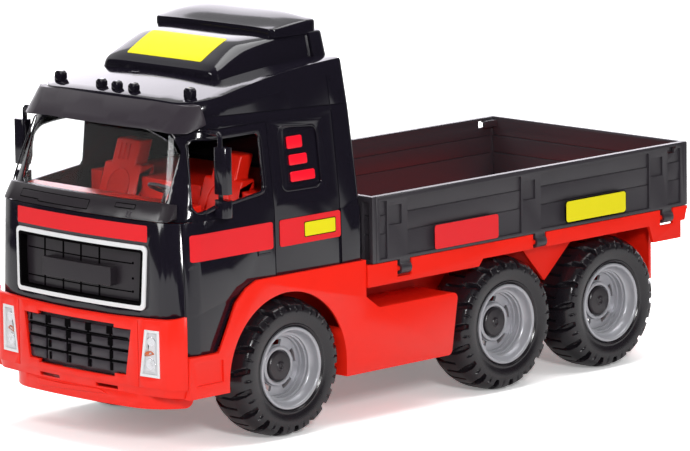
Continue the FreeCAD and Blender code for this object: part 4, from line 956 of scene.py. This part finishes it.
# A label has its two ends, its lower and upper edge and its corner radius, and then how proud it
# lies. Those on the cab first name the way that they face.
CAB_LABELS = {
    "front_label": ("front", (-78, 78, 174.2, 187.8, 1.2), 0.12, label_red),
    "door_label": ("left", (-107, -17, 159, 181, 2.0), 0.35, label_red),
    "sleeper_label": ("left", (-9, 60, 159, 181, 2.2), 0.12, label_red),
    "plate_border": ("left", (18.5, 54.5, 163.6, 176.4, 1.4), 0.20, print_and_shade_black),
    "plate_label": ("left", (19.2, 53.8, 164.3, 175.7, 1.0), 0.27, label_yellow),
}
BOARD_LABELS = {
    "board_label_red": ((164, 240.5, 134.6, 155, 2.5), 0.12, label_red),
    "board_label_border": ((324, 400.5, 135.7, 155, 3.0), 0.12, print_and_shade_black),
    "board_label_yellow": ((324.7, 399.8, 136.4, 154.3, 2.6), 0.2, label_yellow),
}


def flat_plate(name, outline, face, material, body):
    """A flat label on a board, with its front at face millimetres from the middle."""
    count = len(outline)
    verts = [at(x, p[0], p[1]) for x in (face - PLATE_THICK, face) for p in outline]
    faces = [tuple(range(count)), tuple(range(2 * count - 1, count - 1, -1))]
    faces += [(i, i + count, (i + 1) % count + count, (i + 1) % count) for i in range(count)]
    return settle(linked(name, closed_mesh(name, verts, faces, material)), body)


for name, (way, spots, lift, material) in CAB_LABELS.items():
    draped(name, rectangle(*spots), CAB_SKIN, way, lift, material)
board_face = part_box("board_left")[1][0] / MM
for name, (spots, lift, material) in BOARD_LABELS.items():
    flat_plate(name, rectangle(*spots), board_face + lift, material, "drop_side_left")
draped("fairing_label", rectangle(*FAIRING_LABEL), "roof_fairing", "top", FAIRING_LABEL_LIFT,
       label_yellow, cell=FAIRING_LABEL_CELL)
print(len(CAB_LABELS) + len(BOARD_LABELS) + 1, "labels laid")

# %% [markdown]
# ## Beads
# A rounded bead frames each side window and each sleeper panel. It could be part of the shell's
# drawing, but a thin tube that follows the skin catches the light more cleanly.

# %% Sleeper panel and window beads
SLEEPER_FRAME = ((-2.5, 203.6), (41.5, 202.9), (41.5, 252.6), (-2.5, 256.6))
SLEEPER_CORNER, SLEEPER_BEAD = 6.0, 0.65
WINDOW_FRAME = ((-103.5, 196.2), (-21.4, 205.6), (-21.4, 255.8), (-91.8, 255.8))
WINDOW_CORNER, WINDOW_BEAD = 7.0, 0.75


def mirrored_bead(name, outline, corner, radius):
    """A rounded bead on both sides of the cab."""
    path = rounded_corners(outline, corner)
    path = stepped_pair(path, path, BEAD_STEP)[0]
    for hand in HANDS:
        spots = [dropped(CAB_SKIN, hand, p.x, p.y, 0.0) for p in path]
        tube("%s_%s" % (name, hand), spots, radius, cab_black, closed=True)


mirrored_bead("sleeper_frame", SLEEPER_FRAME, SLEEPER_CORNER, SLEEPER_BEAD)
mirrored_bead("window_frame", WINDOW_FRAME, WINDOW_CORNER, WINDOW_BEAD)
print("beads along the windows and sleeper panels")

# %% [markdown]
# ## Cowl relief
# The cowl has three low panels, each with a dark line round it that is painted shade at the panel's foot,
# and two small ticks.

# %% Cowl relief
COWL_PANELS = ((-75.6, -37, 195.6, 202), (-51, 10.8, 194.3, 202), (40, 62, 199, 203))
COWL_LINE = 0.7
COWL_CORNER, COWL_PANEL_CORNER = 0.8, 0.5
COWL_LINE_LIFT, COWL_PANEL_LIFT = 0.2, 0.45
COWL_TICKS = (55.9, 59.3)
COWL_TICK_HALF, COWL_TICK_HEIGHTS, COWL_TICK_LIFT = 0.6, (193, 198), 0.4
for i, (x0, x1, z0, z1) in enumerate(COWL_PANELS):
    line = rectangle(x0, x1, z0, z1, COWL_CORNER, SMALL_STEPS)
    panel = rectangle(x0 + COWL_LINE, x1 - COWL_LINE, z0 + COWL_LINE, z1 - COWL_LINE,
                      COWL_PANEL_CORNER, SMALL_STEPS)
    # The dark line round each panel is painted shade at its foot.
    draped("cowl_shade_line_%d" % i, line, "cowl", "front", COWL_LINE_LIFT, print_and_shade_black)
    draped("cowl_panel_%d" % i, panel, "cowl", "front", COWL_PANEL_LIFT, cowl_black, edge=0.25)
for i, x in enumerate(COWL_TICKS):
    tick = rectangle(x - COWL_TICK_HALF, x + COWL_TICK_HALF, *COWL_TICK_HEIGHTS)
    draped("cowl_tick_%d" % i, tick, "cowl", "front", COWL_TICK_LIFT, trim_black, edge=0.2)

# %% [markdown]
# ## Upper grille
# The white rim frames a panel that is sunk into the cab's front. The panel could be cut into the shell. Here
# it is a plate below the skin, with a dark band of painted shade that closes the gap to the rim.
# Thin dark plates of painted shade stand for its grooves, lines and dots, and a plain bar stands where the
# photograph has a name.

# %% Upper grille
BADGE_HALVES = (76.6, 78.6)
BADGE_HEIGHTS = (118.6, 171.4)
BADGE_CORNER = 4.5
BADGE_RIM, SHADE_BAND_RIMS = 4.6, (3.6, 5.9)
SHADE_BAND_FRONT, SHADE_BAND_BEHIND = 1.75, 0.8
PANEL_DEPTH, PANEL_THICK = 5.0, 1.6
NAME_BAR = (-42.0, 40.0, 135.0, 150.4)
NAME_BAR_CORNER, NAME_BAR_PROUD, NAME_BAR_SUNK = 1.2, 2.0, 0.4
PANEL_GROOVES, GROOVE_HALF, GROOVE_MARGIN = (-47.5, -23.5, -1.5, 20.5), 1, 5.0
PANEL_LINES, LINE_HALF, LINE_ENDS = (154.5, 131.5), 0.5, (-70, 57)
PANEL_DOTS, DOT_ENDS, DOT_HALF = (155.0, 142.5, 131.7), (57.5, 59.5), 1
GROOVE_PROUD, LINE_PROUD, DOT_PROUD = 0.15, 0.2, 0.3
MARK_SUNK, DOT_CORNER = 0.3, 0.8


def badge_outline(shrink):
    low, high = BADGE_HALVES[0] - shrink, BADGE_HALVES[1] - shrink
    z0, z1 = BADGE_HEIGHTS[0] + shrink, BADGE_HEIGHTS[1] - shrink
    return rounded_corners([(-low, z0), (low, z0), (high, z1), (-high, z1)], BADGE_CORNER - shrink / 2)


def shade_band(name, outer, inner, front, back, material):
    """A closed band on the cab's front, between two outlines with as many points as each other."""
    verts = []
    pairs = list(zip(*stepped_pair(outer, inner, BAND_STEP)))
    for a, b in pairs:
        corners = ((a, front), (a, -back), (b, -back), (b, front))
        verts += [dropped(CAB_SKIN, "front", p.x, p.y, lift) for p, lift in corners]
    faces = band_faces(len(pairs), len(corners))
    return settle(linked(name, new_mesh(name, verts, faces, material)))


def panel_shade(name, outline, lift):
    """A thin dark plate on the sunk panel, painted shade for a groove, a line or a dot."""
    draped(name, outline, CAB_SKIN, "front", lift - PANEL_DEPTH, print_and_shade_black, sink=PANEL_DEPTH + MARK_SUNK)


def build_badge():
    """The sunk panel with the painted shade of its grooves, its plain bar and the dark band of painted shade
    inside the white rim.
    """
    panel = draped("badge_panel", badge_outline(BADGE_RIM), CAB_SKIN, "front", -PANEL_DEPTH, cowl_black,
                   sink=PANEL_DEPTH + PANEL_THICK)
    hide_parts("grille_panel")
    outer, inner = (badge_outline(rim) for rim in SHADE_BAND_RIMS)
    # A dead-black band of painted shade covers the wall between the white rim and the sunk panel.
    shade_band("badge_shade_band", outer, inner, SHADE_BAND_FRONT, PANEL_DEPTH + SHADE_BAND_BEHIND, print_and_shade_black)
    draped("name_bar", rectangle(*NAME_BAR, NAME_BAR_CORNER, SMALL_STEPS), CAB_SKIN, "front",
           NAME_BAR_PROUD, cowl_black, sink=PANEL_DEPTH + NAME_BAR_SUNK, edge=0.4)
    # The grooves, lines and dots below are dark plates of painted shade.
    low, high = BADGE_HEIGHTS[0] + GROOVE_MARGIN, BADGE_HEIGHTS[1] - GROOVE_MARGIN
    for i, x in enumerate(PANEL_GROOVES):
        groove = rectangle(x - GROOVE_HALF, x + GROOVE_HALF, low, high)
        panel_shade("badge_groove_shade_%d" % i, groove, GROOVE_PROUD)
    for i, z in enumerate(PANEL_LINES):
        line = rectangle(*LINE_ENDS, z - LINE_HALF, z + LINE_HALF)
        panel_shade("badge_line_shade_%d" % i, line, LINE_PROUD)
    for i, z in enumerate(PANEL_DOTS):
        dot = rectangle(*DOT_ENDS, z - DOT_HALF, z + DOT_HALF, DOT_CORNER, SMALL_STEPS)
        panel_shade("badge_dot_shade_%d" % i, dot, DOT_PROUD)


build_badge()
print("upper grille built")

# %% [markdown]
# ## Lower grille
# Rows of dark slots grow wider towards the top, with dark lines between the rows. Both are painted shade:
# dark plates that lie a little proud of the hull that closes the solid's own openings, so that they read as
# holes from any side.

# %% Lower grille
GRILLE_SKIN = HULL + "bumper_grille"
SLOT_ROWS = ((98.9, 6.5), (89.4, 5.0), (79.0, 3.2), (69.2, 2.2))
SLOT_HEIGHT = 6.2
SLOT_PITCH, SLOT_COUNT = 24.6, 5
SLOT_START, SLOT_WIDEST = -56.2, 6.5
GRILLE_LINES = (94.2, 84.2, 74.1)
GRILLE_LINE_ENDS, GRILLE_LINE_HALF = (-59, 59), 0.6
GRILLE_SHADE_PROUD, GRILLE_SHADE_SUNK = 0.6, 1.5


def grille_shade(name, outline):
    """A thin dark plate of painted shade on the lower grille."""
    draped(name, outline, GRILLE_SKIN, "front", GRILLE_SHADE_PROUD, print_and_shade_black, sink=GRILLE_SHADE_SUNK)


# Each slot and each line is a dark plate of painted shade.
for row, (z, wide) in enumerate(SLOT_ROWS):
    for column in range(SLOT_COUNT):
        x = SLOT_START + SLOT_PITCH * column
        x0, x1 = (x - wide, x) if column else (x - SLOT_WIDEST, x + wide - SLOT_WIDEST)
        slot = rectangle(x0, x1, z - SLOT_HEIGHT / 2, z + SLOT_HEIGHT / 2)
        grille_shade("grille_slot_%d_%d" % (row, column), slot)
for i, z in enumerate(GRILLE_LINES):
    line = rectangle(*GRILLE_LINE_ENDS, z - GRILLE_LINE_HALF, z + GRILLE_LINE_HALF)
    grille_shade("grille_line_%d" % i, line)
print("lower grille built")

# %% [markdown]
# ## Bumper relief
# A low tongue stands on the bumper below the grille.

# %% Bumper relief
BUMPER_TONGUE = ((-47.6, 42.2), (35.6, 46.1), (25.4, 49.3), (-16, 47.9), (-51, 48.4))
TONGUE_PROUD, TONGUE_ROUND = 0.9, 0.5
draped("bumper_tongue", BUMPER_TONGUE, "bumper", "front", TONGUE_PROUD, red, edge=TONGUE_ROUND)

# %% [markdown]
# ## Headlamps
# Each lamp is a pale printed face in a white rim: a dark line, a pale field, two silver
# reflectors, a small cross and an amber mark. They are thin plates that lie one on another.

# %% Headlamps
LAMP_OUTLINE = ((75.9, 67.2), (92.5, 67.2), (92.3, 102.5), (80.9, 102.5))
LAMP_LINE, LAMP_RIM = 3.3, 2.9
LAMP_CORNER, FIELD_CORNER = 0.9, 0.6
LINE_LIFT, FIELD_LIFT, REFLECTOR_LIFT, CROSS_LIFT, AMBER_LIFT = 0.3, 0.45, 0.7, 0.9, 1.4
REFLECTORS = ((85.3, 94.6, 4.2), (84.2, 76.2, 5.0))
REFLECTOR_STEPS, REFLECTOR_ROUND = 24, 0.4
CROSS_X, CROSS_Z, CROSS_LONG, CROSS_THIN = 85.8, 76.9, 2.6, 0.45
AMBER, AMBER_CORNER = ((77.5, 82), (87.7, 84.8), (85.1, 87.2), (80.5, 86.4)), 0.8


def headlamp(hand):
    """The printed face of one headlamp."""
    sign = 1 if hand == "left" else -1
    node = "headlamp_lens_" + hand

    def placed(points):
        turned = [(sign * x, z) for x, z in points]
        return turned if sign > 0 else turned[::-1]

    def printed(name, outline, lift, material, edge=0.0):
        draped(name, outline, node, "front", lift, material, edge=edge)

    printed("lamp_line_" + hand, rounded_corners(placed(LAMP_OUTLINE), LAMP_CORNER), LINE_LIFT, print_and_shade_black)
    inner = [(x + (LAMP_LINE if i in (0, 3) else -LAMP_LINE), z + (LAMP_RIM if i < 2 else -LAMP_RIM))
             for i, (x, z) in enumerate(LAMP_OUTLINE)]
    printed("lamp_field_" + hand, rounded_corners(placed(inner), FIELD_CORNER), FIELD_LIFT, lamp_pale)
    for i, (x, z, radius) in enumerate(REFLECTORS):
        turns = [2 * math.pi * t / REFLECTOR_STEPS for t in range(REFLECTOR_STEPS)]
        ring = [(x + radius * math.cos(turn), z + radius * math.sin(turn)) for turn in turns]
        printed("reflector_%s_%d" % (hand, i), placed(ring), REFLECTOR_LIFT, lamp_silver, REFLECTOR_ROUND)
    for i, (wide, high) in enumerate(((CROSS_LONG, CROSS_THIN), (CROSS_THIN, CROSS_LONG))):
        arm = rectangle(CROSS_X - wide, CROSS_X + wide, CROSS_Z - high, CROSS_Z + high)
        printed("lamp_cross_%s_%d" % (hand, i), placed(arm), CROSS_LIFT, lamp_pale)
    printed("amber_" + hand, rounded_corners(placed(AMBER), AMBER_CORNER), AMBER_LIFT, lamp_amber)


for hand in HANDS:
    headlamp(hand)
print("headlamps printed")

# %% [markdown]
# ## Seats
# Each moulded seat has a raised arch and three flutes on the face of its leaning back. They are
# thin tubes, half sunk into that face.

# %% Seats
SEAT_MIDDLE = 60.0
SEAT_FOOT, SEAT_FOOT_FRONT, SEAT_LEAN = 181.0, -33.0, 0.36
RELIEF_PROUD = 0.1
ARCH_LOW, ARCH_HALF, ARCH_LEG, ARCH_RISE = 186.0, 12.5, 8.0, 14.0
ARCH_STEPS, ARCH_BEAD = 14, 0.9
FLUTES, FLUTE_BEAD = (-7.0, -1.5, 4.0), 0.8
FLUTE_HEIGHTS = (215.0, 221.0, 228.0)


def seat_point(x, z):
    """A point just in front of the leaning face of a seat's back."""
    return at(x, SEAT_FOOT_FRONT + SEAT_LEAN * (z - SEAT_FOOT) - RELIEF_PROUD, z)


def seat_relief(hand):
    """The raised arch and the flutes on the face of one moulded seat."""
    middle = SEAT_MIDDLE if hand == "left" else -SEAT_MIDDLE
    turns = [math.pi * t / ARCH_STEPS for t in range(ARCH_STEPS + 1)]
    spring = ARCH_LOW + ARCH_LEG
    arch = [(middle + ARCH_HALF * math.cos(turn), spring + ARCH_RISE * math.sin(turn)) for turn in turns]
    arch = [(arch[0][0], ARCH_LOW)] + arch + [(arch[-1][0], ARCH_LOW)]
    tube("seat_arch_" + hand, [seat_point(x, z) for x, z in arch], ARCH_BEAD, red)
    for i, x in enumerate(FLUTES):
        points = [seat_point(middle + x, z) for z in FLUTE_HEIGHTS]
        tube("seat_flute_%s_%d" % (hand, i), points, FLUTE_BEAD, red)


for hand in HANDS:
    seat_relief(hand)
print("seats moulded")

# %% [markdown]
# ## Small marks
# The door has a thin hooked handle, and the roof has one small nub.

# %% Small marks on the cab
# Each mark has its outline, the way that it faces, how proud it stands and how round its edge is.
SMALL_MARKS = {
    "door_handle": ((-33.5, -19.0, 154.6, 156.4, 0.5, SMALL_STEPS), "left", 0.5, 0.25),
    "door_handle_end": ((-33.5, -32.3, 156.4, 159.0), "left", 0.5, 0.2),
    "roof_nub": ((-22, -15, -46, -42, 1.2, SMALL_STEPS), "top", 1.0, 0.4),
}
for name, (spots, way, proud, edge) in SMALL_MARKS.items():
    draped(name, rectangle(*spots), "cab_shell", way, proud, cab_black, edge=edge)
print("small marks laid")
